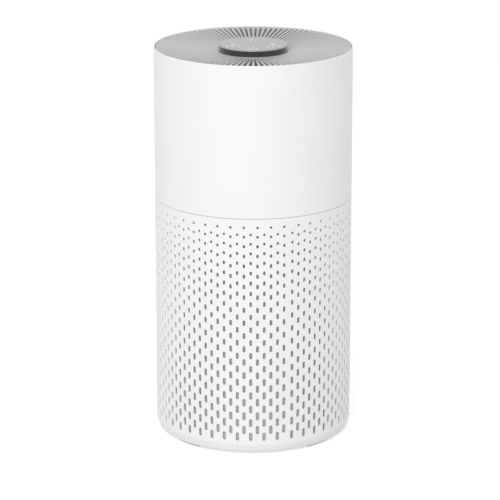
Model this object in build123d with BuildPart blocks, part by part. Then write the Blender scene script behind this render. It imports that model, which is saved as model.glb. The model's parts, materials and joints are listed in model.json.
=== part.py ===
from build123d import *
import math
import os

# Air purifier, a free-standing cylinder. Air enters through the perforated lower shell, passes the
# filter cartridge, is driven up by a centrifugal fan and leaves through the finned grille on top.
# Millimetres, +Z up. The origin is on the floor, on the axis of the cylinder. The front faces -Y.

# Body
body_dia = 200.0
body_height = 400.0
wall = 2.5
foot_height = 2.0
base_round = 6.0
seam_height = 246.5
seam_gap = 0.6
seam_depth = 0.8
rim_wall = 1.3
part_gap = 0.3
slip_gap = 0.05

# Perforation of the lower shell: panels of staggered columns, angles in degrees from the front
panel_count = 4
columns_per_panel = 23
panel_gap_angle = 4.93
first_column_angle = -67.185
first_row_drop = 8.9
upper_rows = 8
upper_pitch = 9.5
upper_pitch_step = 0.25
lower_rows = 10
lower_pitch = 13.2
lower_pitch_step = 0.16
stagger = 7.17
hole_width_top = 2.5
hole_width_bottom = 3.8
hole_height_top = 2.7
hole_height_bottom = 8.9

# Base, feet and bayonet
lip_width = 10.7
lip_thickness = 3.5
foot_count = 4
foot_width = 3.6
foot_half_angle = 9.0
bayonet_ring_height = 3.5
bayonet_count = 4
lug_reach = 3.3
lug_half_angle = 9.0
lug_stop_angle = 1.4
tab_half_angle = 7.0
tab_height = 3.0
twist_angle = 24.0
mouth_gap = 0.5
cover_thickness = 3.5
upstand_wall = 2.5
grip_dia = 90.0
grip_depth = 10.0
grip_wall = 2.0
grip_bar = 14.0
pad_width = 18.0
pad_height = 8.5

# Filter cartridge
filter_room = 3.7
cap_thickness = 4.0
wrap_thickness = 1.3
wrap_gap = 1.0
pleat_count = 60
pleat_depth = 20.0
pleat_fold = 2.0
pleat_flat_angle = 0.9
pleat_notch_angle = 0.3
carbon_thickness = 6.0
carbon_gap = 2.0
gasket_width = 10.0
gasket_height = 6.0
liner_thickness = 0.8

# Fan deck and its screws
deck_drop = 26.5
deck_thickness = 3.0
deck_wall = 2.0
deck_flange = 3.0
ledge_width = 7.5
ledge_thickness = 3.5
inlet_dia = 100.0
guard_bar = 2.0
guard_thickness = 2.0
guard_rings = 4
guard_spokes = 4
screw_dia = 3.0
screw_head_dia = 6.0
screw_head_height = 2.5
screw_room = 0.2
screw_bite = 12.0
boss_wall = 3.1
boss_extra = 2.0

# Fan and air path
duct_room = 12.5
duct_wall = 2.0
bell_height = 13.0
bell_wall = 1.5
bell_throat_dia = 93.0
eye_gap = 1.5
impeller_height = 46.5
impeller_plate = 2.0
tip_gap = 7.0
blade_count = 9
blade_thickness = 1.8
blade_sweep_angle = 42.0
blade_mid_share = 0.36
shroud_rise = 15.0
shroud_thickness = 1.8
vane_count = 12
vane_thickness = 1.8
vane_height = 33.0
vane_step = 4.0
hub_dia = 80.0
hub_wall = 2.0
hub_plate = 3.0
duct_flange = 2.0

# Motor
shaft_dia = 5.0
shaft_overhang = 2.0
hub_boss_dia = 16.0
hub_boss_height = 10.0
nut_height = 4.0
nut_flats = 8.0
can_dia = 64.0
can_wall = 1.6
can_height = 22.0
magnet_thickness = 2.5
magnet_height = 16.0
air_gap = 0.6
stator_height = 14.0
stator_lift = 5.0
tooth_count = 12
tooth_width = 4.0
tooth_shoe = 2.8
tooth_shoe_half_angle = 11.0
yoke_thickness = 4.0
coil_thickness = 1.6
coil_gap = 0.15
bearing_dia = 16.0
bearing_height = 5.0
bearing_tube_wall = 4.9
bearing_shoulder = 1.5
motor_base_lift = 24.0
motor_base_dia = 72.0
motor_base_thickness = 3.0
motor_board_thickness = 1.6
motor_board_standoff = 1.2
clip_thickness = 0.8
clip_reach = 2.1
mount_count = 4
mount_radius = 28.0
mount_dia = 8.0
mount_height = 3.0

# Electronics
board_dia = 66.0
board_thickness = 1.6
board_standoff = 9.0
standoff_dia = 6.0
standoff_radius = 27.0
lead_dia = 3.0
lead_bend = 6.0
lead_room = 1.3
lead_rise = 2.4
conduit_wall = 1.2
panel_lead_dia = 4.4
lead_hole_dia = 12.0
connector_height = 5.0
connector_size = 8.0
capacitor_dia = 8.0
capacitor_height = 12.0
capacitor_x = 8.0
capacitor_y = -12.8
chip_size = 7.0
chip_height = 1.2
chip_x = 14.0

# Outlet grille and control panel
rim_drop = 9.0
rim_ledge_width = 3.5
rim_ledge_thickness = 3.0
grille_gap = 0.2
grille_drop = 0.4
grille_ring_width = 1.1
grille_hub_thickness = 3.0
grille_hub_wall = 1.4
fin_count = 104
slot_angle = 1.8
dish_depth = 5.0
disc_dia = 69.4
disc_gap = 0.6
disc_proud = 1.8
disc_round = 0.4
disc_wall = 2.0
lens_thickness = 1.2
guide_thickness = 2.0
touch_board_thickness = 1.6

# Power inlet at the back
jack_above_seam = 15.5
jack_recess_size = 20.0
jack_recess_depth = 4.0
jack_pad = 2.5
jack_pad_margin = 2.0
jack_flange_dia = 15.0
jack_flange_thickness = 1.5
jack_body_dia = 10.8
jack_body_length = 9.5
jack_bore_dia = 5.5
jack_bore_depth = 9.5
jack_pin_dia = 2.1
jack_pin_setback = 1.0
jack_nut_dia = 16.0
jack_nut_thickness = 2.5
terminal_size = 4.0
terminal_rise = 3.0

# Radii that follow from the driving sizes
shell_r = body_dia / 2
bore_r = shell_r - wall
mouth_r = shell_r - lip_width
lug_r = mouth_r - lug_reach
cover_r = mouth_r - mouth_gap
tab_r = mouth_r - mouth_gap - part_gap
upstand_r = lug_r - mouth_gap
filter_r = lug_r - filter_room
wrap_in_r = filter_r - wrap_thickness
media_r = wrap_in_r - wrap_gap
media_in_r = media_r - pleat_depth
carbon_r = media_in_r - carbon_gap
core_r = carbon_r - carbon_thickness
ledge_r = bore_r - ledge_width
liner_in_r = bore_r - part_gap - liner_thickness
screw_r = liner_in_r - part_gap - screw_head_dia / 2
inlet_r = inlet_dia / 2
duct_r = bore_r - duct_room
duct_in_r = duct_r - duct_wall
deck_wall_in_r = duct_r + 2 * slip_gap
deck_wall_r = deck_wall_in_r + deck_wall
impeller_r = duct_in_r - tip_gap
throat_r = bell_throat_dia / 2
eye_r = throat_r + bell_wall + eye_gap
hub_r = hub_dia / 2
hub_in_r = hub_r - hub_wall
shaft_r = shaft_dia / 2
shaft_fit_r = shaft_r + slip_gap / 2
can_r = can_dia / 2
can_in_r = can_r - can_wall
magnet_r = can_in_r - slip_gap
magnet_in_r = magnet_r - magnet_thickness
stator_r = magnet_in_r - air_gap
bearing_r = bearing_dia / 2
bearing_tube_r = bearing_r + bearing_tube_wall
stator_in_r = bearing_tube_r + slip_gap
screw_hole_r = screw_dia / 2 + screw_room
lead_r = lead_dia / 2
lead_hole_r = lead_hole_dia / 2
disc_r = disc_dia / 2
rim_ledge_r = bore_r - rim_ledge_width
grille_r = shell_r - rim_wall - grille_gap
fin_out_r = grille_r - grille_ring_width
hub_seat_r = disc_r + disc_gap
fin_in_r = hub_seat_r + grille_hub_wall

# Heights that follow from the driving sizes
seam_low = seam_height - seam_gap / 2
seam_high = seam_height + seam_gap / 2
lip_top = foot_height + lip_thickness
ring_top = lip_top + bayonet_ring_height
cover_top = foot_height + cover_thickness
tab_low = ring_top + part_gap
tab_top = tab_low + tab_height
grip_top = foot_height + grip_depth
pad_top = cover_top + pad_height
filter_low = pad_top + part_gap
ledge_top = seam_low - deck_flange
ledge_low = ledge_top - ledge_thickness
deck_low = seam_height - deck_drop
deck_top = deck_low + deck_thickness
gasket_top = deck_low - part_gap
top_cap_top = gasket_top - gasket_height
media_low = filter_low + cap_thickness
media_top = top_cap_top - cap_thickness
bell_top = deck_top + bell_height
eye_low = bell_top + eye_gap
back_top = eye_low + impeller_height
back_low = back_top - impeller_plate
can_top = back_top + can_height
stator_low = back_top + stator_lift
stator_top = stator_low + stator_height
motor_base_low = back_top + motor_base_lift
motor_base_top = motor_base_low + motor_base_thickness
bearing_tube_low = back_top + can_wall + 2 * air_gap
bearing_low_z = bearing_tube_low + air_gap
bearing_up_z = motor_base_low - bearing_height - clip_thickness
clip_low = bearing_up_z + bearing_height + part_gap
shaft_top = clip_low + clip_thickness + shaft_overhang
hub_boss_low = back_top - hub_boss_height
nut_low = hub_boss_low - nut_height
shaft_low = nut_low - shaft_overhang
motor_board_top = motor_base_low - motor_board_standoff
duct_top = motor_base_low + vane_step
hub_low = motor_base_top + mount_height
hub_floor = hub_low + hub_plate
vane_top = hub_low + vane_height
board_low = hub_floor + board_standoff
board_top = board_low + board_thickness
conduit_z = board_top + lead_rise
rim_seat = body_height - rim_drop
rim_ledge_low = rim_seat - rim_ledge_thickness
dish_low = body_height - dish_depth
grille_top = body_height - grille_drop
hub_seat_z = rim_ledge_low + grille_hub_thickness
disc_top = body_height + disc_proud
lens_low = disc_top - lens_thickness
guide_low = lens_low - guide_thickness
touch_low = guide_low - touch_board_thickness
disc_floor = hub_seat_z + disc_wall
jack_z = seam_height + jack_above_seam
recess_y = shell_r - jack_recess_depth
jack_pad_y = recess_y - jack_pad
jack_face_y = recess_y + jack_flange_thickness
jack_tail_y = recess_y - jack_body_length
terminal_y = jack_tail_y + terminal_size / 2
terminal_top = jack_z + jack_body_dia / 2 + terminal_rise
connector_y = board_dia / 2 - connector_size


def tube(r_out, r_in, z_low, z_high, mode=Mode.ADD):
    """A round plate or tube between two heights."""
    with BuildSketch(Plane.XY.offset(z_low)) as plan:
        Circle(r_out)
        if r_in > 0:
            Circle(r_in, mode=Mode.SUBTRACT)
    extrude(plan.sketch, amount=z_high - z_low, mode=mode)


def lathe(*points, mode=Mode.ADD):
    """A closed outline of (radius, height) points, turned about the axis."""
    with BuildSketch(Plane.XZ) as outline:
        with BuildLine():
            Polyline(*points, close=True)
        make_face()
    revolve(outline.sketch, axis=Axis.Z, mode=mode)


def sector(r_out, r_in, half_angle, turn=0.0):
    """A flat ring sector, centred on the angle turn, for use in a sketch."""
    with BuildLine() as border:
        outer = CenterArc((0, 0), r_out, turn - half_angle, 2 * half_angle)
        inner = CenterArc((0, 0), r_in, turn - half_angle, 2 * half_angle)
        Line(outer @ 0, inner @ 0)
        Line(outer @ 1, inner @ 1)
    make_face(border.edges())


def block(size, center, mode=Mode.ADD):
    """A box of a size about a centre."""
    with Locations(center):
        Box(*size, mode=mode)


def rear_tube(r_out, r_in, y_low, y_high, mode=Mode.ADD):
    """A round piece along Y, on the axis of the power inlet."""
    with BuildSketch(Plane.XZ.offset(-y_high)) as section:
        with Locations((0, jack_z)):
            Circle(r_out)
            if r_in > 0:
                Circle(r_in, mode=Mode.SUBTRACT)
    extrude(section.sketch, amount=y_high - y_low, mode=mode)


def ring_faces(wedge, half_angle):
    """The faces of a wedge about +X, without the two flat sides where it meets its neighbours."""
    kept = []
    for face in wedge.faces():
        middle = face.center()
        turn = abs(math.degrees(math.atan2(middle.Y, middle.X)))
        if face.geom_type == GeomType.PLANE and abs(turn - half_angle) < 0.01:
            continue
        kept.append(face)
    return kept


def close_ring(placed):
    """One solid from (faces, angle) pairs that together go once round the axis."""
    turned = [face.rotate(Axis.Z, angle) for faces, angle in placed for face in faces]
    return Solid(Shell(turned))


def save(builder, name):
    """Name a finished piece and write it to its own file."""
    builder.part.label = name
    export_step(builder.part, f"parts/{name}.step", write_pcurves=False)


os.makedirs("parts", exist_ok=True)

# Lower shell: rounded base edge, inward lip at the mouth, ledge for the fan deck, rows of holes
column_pitch = (360 / panel_count - panel_gap_angle) / (columns_per_panel - 1)
filler_angle = panel_gap_angle - column_pitch
screw_column = columns_per_panel // 2
hole_rows = upper_rows + lower_rows

row_heights = [seam_height - first_row_drop]
for step in range(upper_rows - 1):
    row_heights.append(row_heights[-1] - upper_pitch - upper_pitch_step * step)
for step in range(lower_rows):
    row_heights.append(row_heights[-1] - lower_pitch - lower_pitch_step * step)


def lower_shell_wedge(angle):
    """A slice of the lower shell about +X, without holes."""
    turn = base_round * (1 - math.sqrt(0.5))
    with BuildPart() as wedge:
        with BuildSketch(Plane.XZ):
            with BuildLine():
                Line((mouth_r, foot_height), (shell_r - base_round, foot_height))
                ThreePointArc(
                    (shell_r - base_round, foot_height),
                    (shell_r - turn, foot_height + turn),
                    (shell_r, foot_height + base_round),
                )
                Polyline(
                    (shell_r, foot_height + base_round),
                    (shell_r, seam_low),
                    (bore_r, seam_low),
                    (bore_r, ledge_top),
                    (ledge_r, ledge_top),
                    (ledge_r, ledge_low),
                    (bore_r, ledge_low),
                    (bore_r, lip_top),
                    (mouth_r, lip_top),
                    (mouth_r, foot_height),
                )
            make_face()
        revolve(axis=Axis.Z, revolution_arc=angle)
    return wedge.part.rotate(Axis.Z, -angle / 2)


def lower_shell_column(drop, has_screw):
    """A slice with one column of holes, which grow towards the base."""
    holes = []
    for row, height in enumerate(row_heights):
        share = row / (hole_rows - 1)
        widen = max(0.0, (row - upper_rows + 1) / lower_rows)
        hole_height = hole_height_top + (hole_height_bottom - hole_height_top) * share
        hole_width = hole_width_top + (hole_width_bottom - hole_width_top) * widen
        with BuildSketch(Plane.YZ.offset(bore_r - wall)) as hole:
            with Locations((0, height - drop)):
                Rectangle(hole_width, hole_height)
        holes.append(Solid.extrude(hole.sketch.faces()[0], Vector(3 * wall, 0, 0)))
    with BuildPart() as column:
        add(lower_shell_wedge(column_pitch))
        add(holes, mode=Mode.SUBTRACT)
        if has_screw:
            with Locations((screw_r, 0, ledge_low)):
                Cylinder(screw_hole_r, 3 * ledge_thickness, mode=Mode.SUBTRACT)
    return ring_faces(column.part, column_pitch / 2)


columns = {
    (odd, has_screw): lower_shell_column(stagger * odd, has_screw)
    for odd in (0, 1)
    for has_screw in (False, True)
}
filler = ring_faces(lower_shell_wedge(filler_angle), filler_angle / 2)
placed_columns = []
screw_angles = []
for number in range(panel_count * columns_per_panel):
    panel, column = divmod(number, columns_per_panel)
    angle = first_column_angle - 90 + panel * 360 / panel_count + column * column_pitch
    has_screw = column == screw_column
    placed_columns.append((columns[number % 2, has_screw], angle))
    if has_screw:
        screw_angles.append(angle)
    if column == columns_per_panel - 1:
        placed_columns.append((filler, angle + column_pitch / 2 + filler_angle / 2))
with BuildPart() as lower_shell:
    add(close_ring(placed_columns), clean=False)
save(lower_shell, "lower_shell")


def at_deck_screws(height):
    """Places of the screws that hold the two shells and the fan deck together."""
    return [
        (screw_r * math.cos(math.radians(angle)), screw_r * math.sin(math.radians(angle)), height)
        for angle in screw_angles
    ]


# Fine net that lines the lower shell behind its holes
with BuildPart() as net_liner:
    tube(bore_r - part_gap, liner_in_r, ring_top, ledge_low - part_gap)
save(net_liner, "net_liner")

# Bayonet ring fixed on the lip of the lower shell, with lugs and their end stops
lug_low = cover_top + mouth_gap
with BuildPart() as bayonet_ring:
    tube(bore_r - part_gap, mouth_r, lip_top, ring_top)
    with BuildSketch(Plane.XY.offset(lug_low)):
        for index in range(bayonet_count):
            turn = twist_angle + index * 360 / bayonet_count
            sector(mouth_r + lug_reach, lug_r, lug_half_angle, turn)
    extrude(amount=ring_top - lug_low)
    with BuildSketch(Plane.XY.offset(ring_top)):
        for index in range(bayonet_count):
            turn = twist_angle + lug_half_angle - lug_stop_angle / 2 + index * 360 / bayonet_count
            sector(mouth_r + lug_reach, lug_r, lug_stop_angle / 2, turn)
    extrude(amount=tab_height)
save(bayonet_ring, "bayonet_ring")

# Rubber feet under the lip
with BuildPart() as rubber_feet:
    with BuildSketch(Plane.XY):
        foot_r = mouth_r + mouth_gap
        for index in range(foot_count):
            turn = (index + 0.5) * 360 / foot_count
            sector(foot_r + foot_width, foot_r, foot_half_angle, turn)
    extrude(amount=foot_height)
save(rubber_feet, "rubber_feet")

# Twist-off bottom cover with bayonet tabs and a sunk finger grip
grip_r = grip_dia / 2
with BuildPart() as bottom_cover:
    tube(cover_r, 0, foot_height, cover_top)
    tube(upstand_r, upstand_r - upstand_wall, cover_top, tab_top)
    with BuildSketch(Plane.XY.offset(tab_low)):
        for index in range(bayonet_count):
            sector(tab_r, upstand_r - upstand_wall / 2, tab_half_angle, index * 360 / bayonet_count)
    extrude(amount=tab_height)
    tube(grip_r + grip_wall, 0, cover_top, grip_top + grip_wall)
    tube(grip_r, 0, foot_height, grip_top, mode=Mode.SUBTRACT)
    bar_length = 2 * math.sqrt(grip_r**2 - (grip_bar / 2) ** 2) + grip_wall
    block((grip_bar, bar_length, cover_thickness), (0, 0, foot_height + cover_thickness / 2))
save(bottom_cover, "bottom_cover")

# Foam ring on the cover that presses the filter against the deck
pad_r = upstand_r - upstand_wall - part_gap
with BuildPart() as cover_pad:
    tube(pad_r, pad_r - pad_width, cover_top, pad_top)
save(cover_pad, "cover_pad")

# Filter cartridge: end caps, net wrap, pleated media, carbon core and foam gasket
with BuildPart() as filter_bottom_cap:
    tube(filter_r, core_r, filter_low, media_low)
save(filter_bottom_cap, "filter_bottom_cap")

with BuildPart() as filter_top_cap:
    tube(filter_r, core_r, media_top, top_cap_top)
save(filter_top_cap, "filter_top_cap")

with BuildPart() as filter_wrap:
    tube(filter_r, wrap_in_r, media_low, media_top)
save(filter_wrap, "filter_wrap")


def pleat_outline(r_high, r_low, high_angle, low_angle):
    """Corners of a closed zigzag: a flat fold at the high radius, then one at the low radius."""
    half_pitch = 180 / pleat_count
    corners = []
    for index in range(pleat_count):
        turn = 2 * half_pitch * index
        for radius, angle in (
            (r_high, turn - high_angle),
            (r_high, turn + high_angle),
            (r_low, turn + half_pitch - low_angle),
            (r_low, turn + half_pitch + low_angle),
        ):
            bend = math.radians(angle)
            corners.append((radius * math.cos(bend), radius * math.sin(bend)))
    return corners


with BuildPart() as filter_media:
    with BuildSketch(Plane.XY.offset(media_low)):
        with BuildLine():
            Polyline(
                *pleat_outline(media_r, media_in_r + pleat_fold, pleat_flat_angle, pleat_notch_angle),
                close=True,
            )
        make_face()
        with BuildLine():
            Polyline(
                *pleat_outline(media_r - pleat_fold, media_in_r, pleat_notch_angle, pleat_flat_angle),
                close=True,
            )
        make_face(mode=Mode.SUBTRACT)
    extrude(amount=media_top - media_low)
save(filter_media, "filter_media")

with BuildPart() as carbon_core:
    tube(carbon_r, core_r, media_low, media_top)
save(carbon_core, "carbon_core")

with BuildPart() as filter_gasket:
    tube(carbon_r + gasket_width, carbon_r, top_cap_top, gasket_top)
save(filter_gasket, "filter_gasket")

# Fan deck: the partition between filter and fan, whose lip shows as the seam between the shells
with BuildPart() as fan_deck:
    lathe(
        (inlet_r, deck_low),
        (deck_wall_r, deck_low),
        (deck_wall_r, ledge_top),
        (bore_r - part_gap, ledge_top),
        (bore_r - part_gap, seam_low),
        (shell_r - seam_depth, seam_low),
        (shell_r - seam_depth, seam_high),
        (deck_wall_in_r, seam_high),
        (deck_wall_in_r, deck_top),
        (inlet_r, deck_top),
    )
    with Locations(at_deck_screws(seam_low)):
        Cylinder(screw_hole_r, 4 * deck_flange, mode=Mode.SUBTRACT)
save(fan_deck, "fan_deck")

screw_top = seam_high + screw_bite
with BuildPart() as deck_screws:
    for x, y, _ in at_deck_screws(0):
        with BuildSketch(Plane.XY.offset(ledge_low - screw_head_height)):
            with Locations((x, y)):
                Circle(screw_head_dia / 2)
        extrude(amount=screw_head_height)
        with BuildSketch(Plane.XY.offset(ledge_low)):
            with Locations((x, y)):
                Circle(screw_dia / 2)
        extrude(amount=screw_top - ledge_low)
save(deck_screws, "deck_screws")

# Finger guard in the inlet: rings on spokes
guard_low = deck_top - guard_thickness
guard_r = inlet_r - 2 * slip_gap
with BuildPart() as inlet_guard:
    with BuildSketch(Plane.XY.offset(guard_low)):
        for index in range(guard_rings, 0, -1):
            ring_r = guard_r * index / guard_rings
            Circle(ring_r)
            if index > 1:
                Circle(ring_r - guard_bar, mode=Mode.SUBTRACT)
        with PolarLocations(0, guard_spokes):
            with Locations((guard_r / 2, 0)):
                Rectangle(guard_r - guard_bar, guard_bar)
    extrude(amount=guard_thickness)
save(inlet_guard, "inlet_guard")

# Bellmouth that leads the air into the eye of the fan
with BuildPart() as bellmouth:
    lathe(
        (inlet_r, deck_top),
        (inlet_r + 2 * bell_wall, deck_top),
        (inlet_r + 2 * bell_wall, deck_top + bell_wall),
        (inlet_r, deck_top + 2 * bell_wall),
        (throat_r + bell_wall, deck_top + bell_height / 2),
        (throat_r + bell_wall, bell_top),
        (throat_r, bell_top),
        (throat_r, deck_top + bell_height / 3),
    )
save(bellmouth, "bellmouth")

# Fan wheel: back plate, hub boss and swept-back blades, cut to the slope of the front shroud
blade_in_r = eye_r - bell_wall
blade_mid_r = (blade_in_r + impeller_r) / 2
shroud_high = eye_low + shroud_rise


def polar(radius, angle):
    """A point in a plan sketch, angle in degrees."""
    return (radius * math.cos(math.radians(angle)), radius * math.sin(math.radians(angle)))


with BuildPart() as impeller:
    tube(impeller_r, shaft_fit_r, back_low, back_top)
    tube(hub_boss_dia / 2, shaft_fit_r, hub_boss_low, back_low)
    with BuildSketch(Plane.XY.offset(eye_low)):
        for index in range(blade_count):
            turn = index * 360 / blade_count
            with BuildLine():
                ThreePointArc(
                    polar(blade_in_r, turn),
                    polar(blade_mid_r, turn - blade_mid_share * blade_sweep_angle),
                    polar(impeller_r - blade_thickness, turn - blade_sweep_angle),
                )
            trace(line_width=blade_thickness)
    extrude(amount=back_low - eye_low)
    lathe(
        (0, eye_low - shroud_thickness),
        (impeller_r + tip_gap, eye_low - shroud_thickness),
        (impeller_r + tip_gap, shroud_high + shroud_thickness),
        (impeller_r, shroud_high + shroud_thickness),
        (eye_r, eye_low + shroud_thickness),
        (hub_boss_dia, eye_low + shroud_thickness),
        (hub_boss_dia, nut_low - nut_height),
        (0, nut_low - nut_height),
        mode=Mode.SUBTRACT,
    )
save(impeller, "impeller")

with BuildPart() as impeller_shroud:
    lathe(
        (eye_r, eye_low),
        (impeller_r, shroud_high),
        (impeller_r, shroud_high + shroud_thickness),
        (eye_r, eye_low + shroud_thickness),
    )
save(impeller_shroud, "impeller_shroud")

# Motor: outer rotor on the back plate, stator and bearings on the fixed motor base
with BuildPart() as rotor_can:
    tube(can_r, shaft_fit_r, back_top, back_top + can_wall)
    tube(can_r, can_in_r, back_top + can_wall, can_top)
save(rotor_can, "rotor_can")

magnet_low = can_top - part_gap - magnet_height
with BuildPart() as rotor_magnet:
    tube(magnet_r, magnet_in_r, magnet_low, magnet_low + magnet_height)
save(rotor_magnet, "rotor_magnet")

with BuildPart() as motor_shaft:
    tube(shaft_r, 0, shaft_low, shaft_top)
    chamfer(motor_shaft.edges().filter_by(GeomType.CIRCLE), shaft_overhang / 4)
save(motor_shaft, "motor_shaft")

with BuildPart() as hub_nut:
    with BuildSketch(Plane.XY.offset(nut_low)):
        RegularPolygon(nut_flats / 2, 6, major_radius=False)
        Circle(shaft_fit_r, mode=Mode.SUBTRACT)
    extrude(amount=nut_height)
save(hub_nut, "hub_nut")

with BuildPart() as shaft_clip:
    tube(shaft_r + clip_reach, shaft_fit_r, clip_low, clip_low + clip_thickness)
save(shaft_clip, "shaft_clip")

with BuildPart() as bearing_lower:
    tube(bearing_r, shaft_fit_r, bearing_low_z, bearing_low_z + bearing_height)
save(bearing_lower, "bearing_lower")

with BuildPart() as bearing_upper:
    tube(bearing_r, shaft_fit_r, bearing_up_z, bearing_up_z + bearing_height)
save(bearing_upper, "bearing_upper")

seat_r = bearing_r + slip_gap / 2
board_post_r = (stator_in_r + stator_r) / 2
with BuildPart() as motor_base:
    tube(motor_base_dia / 2, 0, motor_base_low, motor_base_top)
    tube(bearing_tube_r, 0, bearing_tube_low, motor_base_low)
    tube(seat_r, 0, bearing_tube_low, bearing_low_z + bearing_height, mode=Mode.SUBTRACT)
    tube(seat_r - bearing_shoulder, 0, bearing_low_z, motor_base_top, mode=Mode.SUBTRACT)
    tube(seat_r, 0, bearing_up_z, motor_base_top, mode=Mode.SUBTRACT)
    with BuildSketch(Plane.XY.offset(motor_board_top)):
        with PolarLocations(board_post_r, 3):
            Circle(standoff_dia / 3)
    extrude(amount=motor_board_standoff)
    with BuildSketch(Plane.XY.offset(motor_base_low)):
        with PolarLocations(mount_radius, mount_count):
            Circle(screw_dia / 2 + slip_gap)
    extrude(amount=motor_base_thickness, mode=Mode.SUBTRACT)
save(motor_base, "motor_base")

with BuildPart() as stator_core:
    with BuildSketch(Plane.XY.offset(stator_low)):
        Circle(stator_in_r + yoke_thickness)
        with PolarLocations(0, tooth_count):
            with Locations(((stator_in_r + stator_r) / 2, 0)):
                Rectangle(stator_r - stator_in_r - tooth_shoe, tooth_width)
        for index in range(tooth_count):
            sector(stator_r, stator_r - tooth_shoe, tooth_shoe_half_angle, index * 360 / tooth_count)
        Circle(stator_in_r, mode=Mode.SUBTRACT)
    extrude(amount=stator_height)
save(stator_core, "stator_core")

coil_low_r = stator_in_r + yoke_thickness + coil_thickness
shoe_corner = math.cos(math.radians(tooth_shoe_half_angle))
coil_high_r = (stator_r - tooth_shoe) * shoe_corner - coil_gap
coil_mid_r = (coil_low_r + coil_high_r) / 2
coil_mid_z = (stator_low + stator_top) / 2
with BuildPart() as stator_coils:
    with PolarLocations(coil_mid_r, tooth_count):
        with Locations((0, 0, coil_mid_z)):
            Box(
                coil_high_r - coil_low_r,
                tooth_width + 2 * coil_thickness,
                stator_height + 2 * coil_thickness,
            )
            Box(
                coil_high_r - coil_low_r,
                tooth_width + 2 * coil_gap,
                stator_height + 2 * coil_gap,
                mode=Mode.SUBTRACT,
            )
save(stator_coils, "stator_coils")

with BuildPart() as motor_board:
    board_bottom = motor_board_top - motor_board_thickness
    tube(stator_r - air_gap, stator_in_r + air_gap, board_bottom, motor_board_top)
save(motor_board, "motor_board")

with BuildPart() as rubber_mounts:
    with BuildSketch(Plane.XY.offset(motor_base_top)):
        with PolarLocations(mount_radius, mount_count):
            Circle(mount_dia / 2)
            Circle(screw_hole_r, mode=Mode.SUBTRACT)
    extrude(amount=mount_height)
save(rubber_mounts, "rubber_mounts")

with BuildPart() as motor_screws:
    with BuildSketch(Plane.XY.offset(motor_base_low)):
        with PolarLocations(mount_radius, mount_count):
            Circle(screw_dia / 2)
    extrude(amount=hub_floor - motor_base_low)
    with BuildSketch(Plane.XY.offset(hub_floor)):
        with PolarLocations(mount_radius, mount_count):
            Circle(screw_head_dia / 2)
    extrude(amount=screw_head_height)
save(motor_screws, "motor_screws")

# Duct round the fan, vane ring with the hub cup that carries the motor, flared outlet duct
with BuildPart() as fan_duct:
    tube(duct_r, duct_in_r, deck_top, duct_top)
save(fan_duct, "fan_duct")

conduit_r = lead_r + lead_room
with BuildPart() as guide_vanes:
    tube(duct_r, duct_in_r, duct_top, vane_top)
    tube(hub_r, 0, hub_low, hub_floor)
    tube(hub_r, hub_in_r, hub_floor, vane_top)
    with BuildSketch(Plane.XY.offset(hub_low)):
        with PolarLocations(0, vane_count, start_angle=180 / vane_count):
            with Locations(((hub_r + duct_in_r) / 2, 0)):
                Rectangle(duct_in_r - hub_r + duct_wall, vane_thickness)
    extrude(amount=vane_height)
    with BuildSketch(Plane.XZ.offset(-hub_in_r - hub_wall / 2)):
        with Locations((0, conduit_z)):
            Circle(conduit_r + conduit_wall)
    extrude(amount=-(duct_in_r - hub_in_r))
    with BuildSketch(Plane.XZ.offset(-hub_in_r / 2)):
        with Locations((0, conduit_z)):
            Circle(conduit_r)
    extrude(amount=-duct_r, mode=Mode.SUBTRACT)
    with BuildSketch(Plane.XY.offset(hub_floor)):
        with PolarLocations(standoff_radius, mount_count, start_angle=180 / mount_count):
            Circle(standoff_dia / 2)
    extrude(amount=board_standoff)
    with BuildSketch(Plane.XY.offset(hub_floor)):
        with PolarLocations(standoff_radius, mount_count, start_angle=180 / mount_count):
            Circle(screw_dia / 2 + slip_gap)
    extrude(amount=board_standoff, mode=Mode.SUBTRACT)
    with BuildSketch(Plane.XY.offset(hub_low)):
        with PolarLocations(mount_radius, mount_count):
            Circle(screw_hole_r)
    extrude(amount=hub_plate, mode=Mode.SUBTRACT)
save(guide_vanes, "guide_vanes")

flare_r = rim_ledge_r - duct_wall
with BuildPart() as outlet_duct:
    lathe(
        (duct_in_r, vane_top),
        (duct_r, vane_top),
        (flare_r + duct_wall, rim_ledge_low - 2 * duct_flange),
        (bore_r - part_gap, rim_ledge_low - duct_flange),
        (bore_r - part_gap, rim_ledge_low),
        (flare_r, rim_ledge_low),
        (flare_r, rim_ledge_low - 2 * duct_flange),
    )
save(outlet_duct, "outlet_duct")

with BuildPart() as hub_cover:
    tube(hub_r, hub_in_r, vane_top, rim_ledge_low - hub_wall)
    tube(hub_r, lead_hole_r, rim_ledge_low - hub_wall, rim_ledge_low)
save(hub_cover, "hub_cover")

# Main board in the hub cup, with its parts and screws
with BuildPart() as main_board:
    tube(board_dia / 2, 0, board_low, board_top)
    with BuildSketch(Plane.XY.offset(board_low)):
        with PolarLocations(standoff_radius, mount_count, start_angle=180 / mount_count):
            Circle(screw_hole_r)
    extrude(amount=board_thickness, mode=Mode.SUBTRACT)
save(main_board, "main_board")

with BuildPart() as board_parts:
    with BuildSketch(Plane.XY.offset(board_top)):
        with Locations((-capacitor_x, capacitor_y), (capacitor_x, capacitor_y)):
            Circle(capacitor_dia / 2)
    extrude(amount=capacitor_height)
    with BuildSketch(Plane.XY.offset(board_top)):
        with Locations((-chip_x, 0), (chip_x, 0)):
            Rectangle(chip_size, chip_size)
    extrude(amount=chip_height)
    with BuildSketch(Plane.XY.offset(board_top)):
        with Locations((0, 0), (0, connector_y)):
            Rectangle(connector_size, connector_size)
    extrude(amount=connector_height)
save(board_parts, "board_parts")

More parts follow.
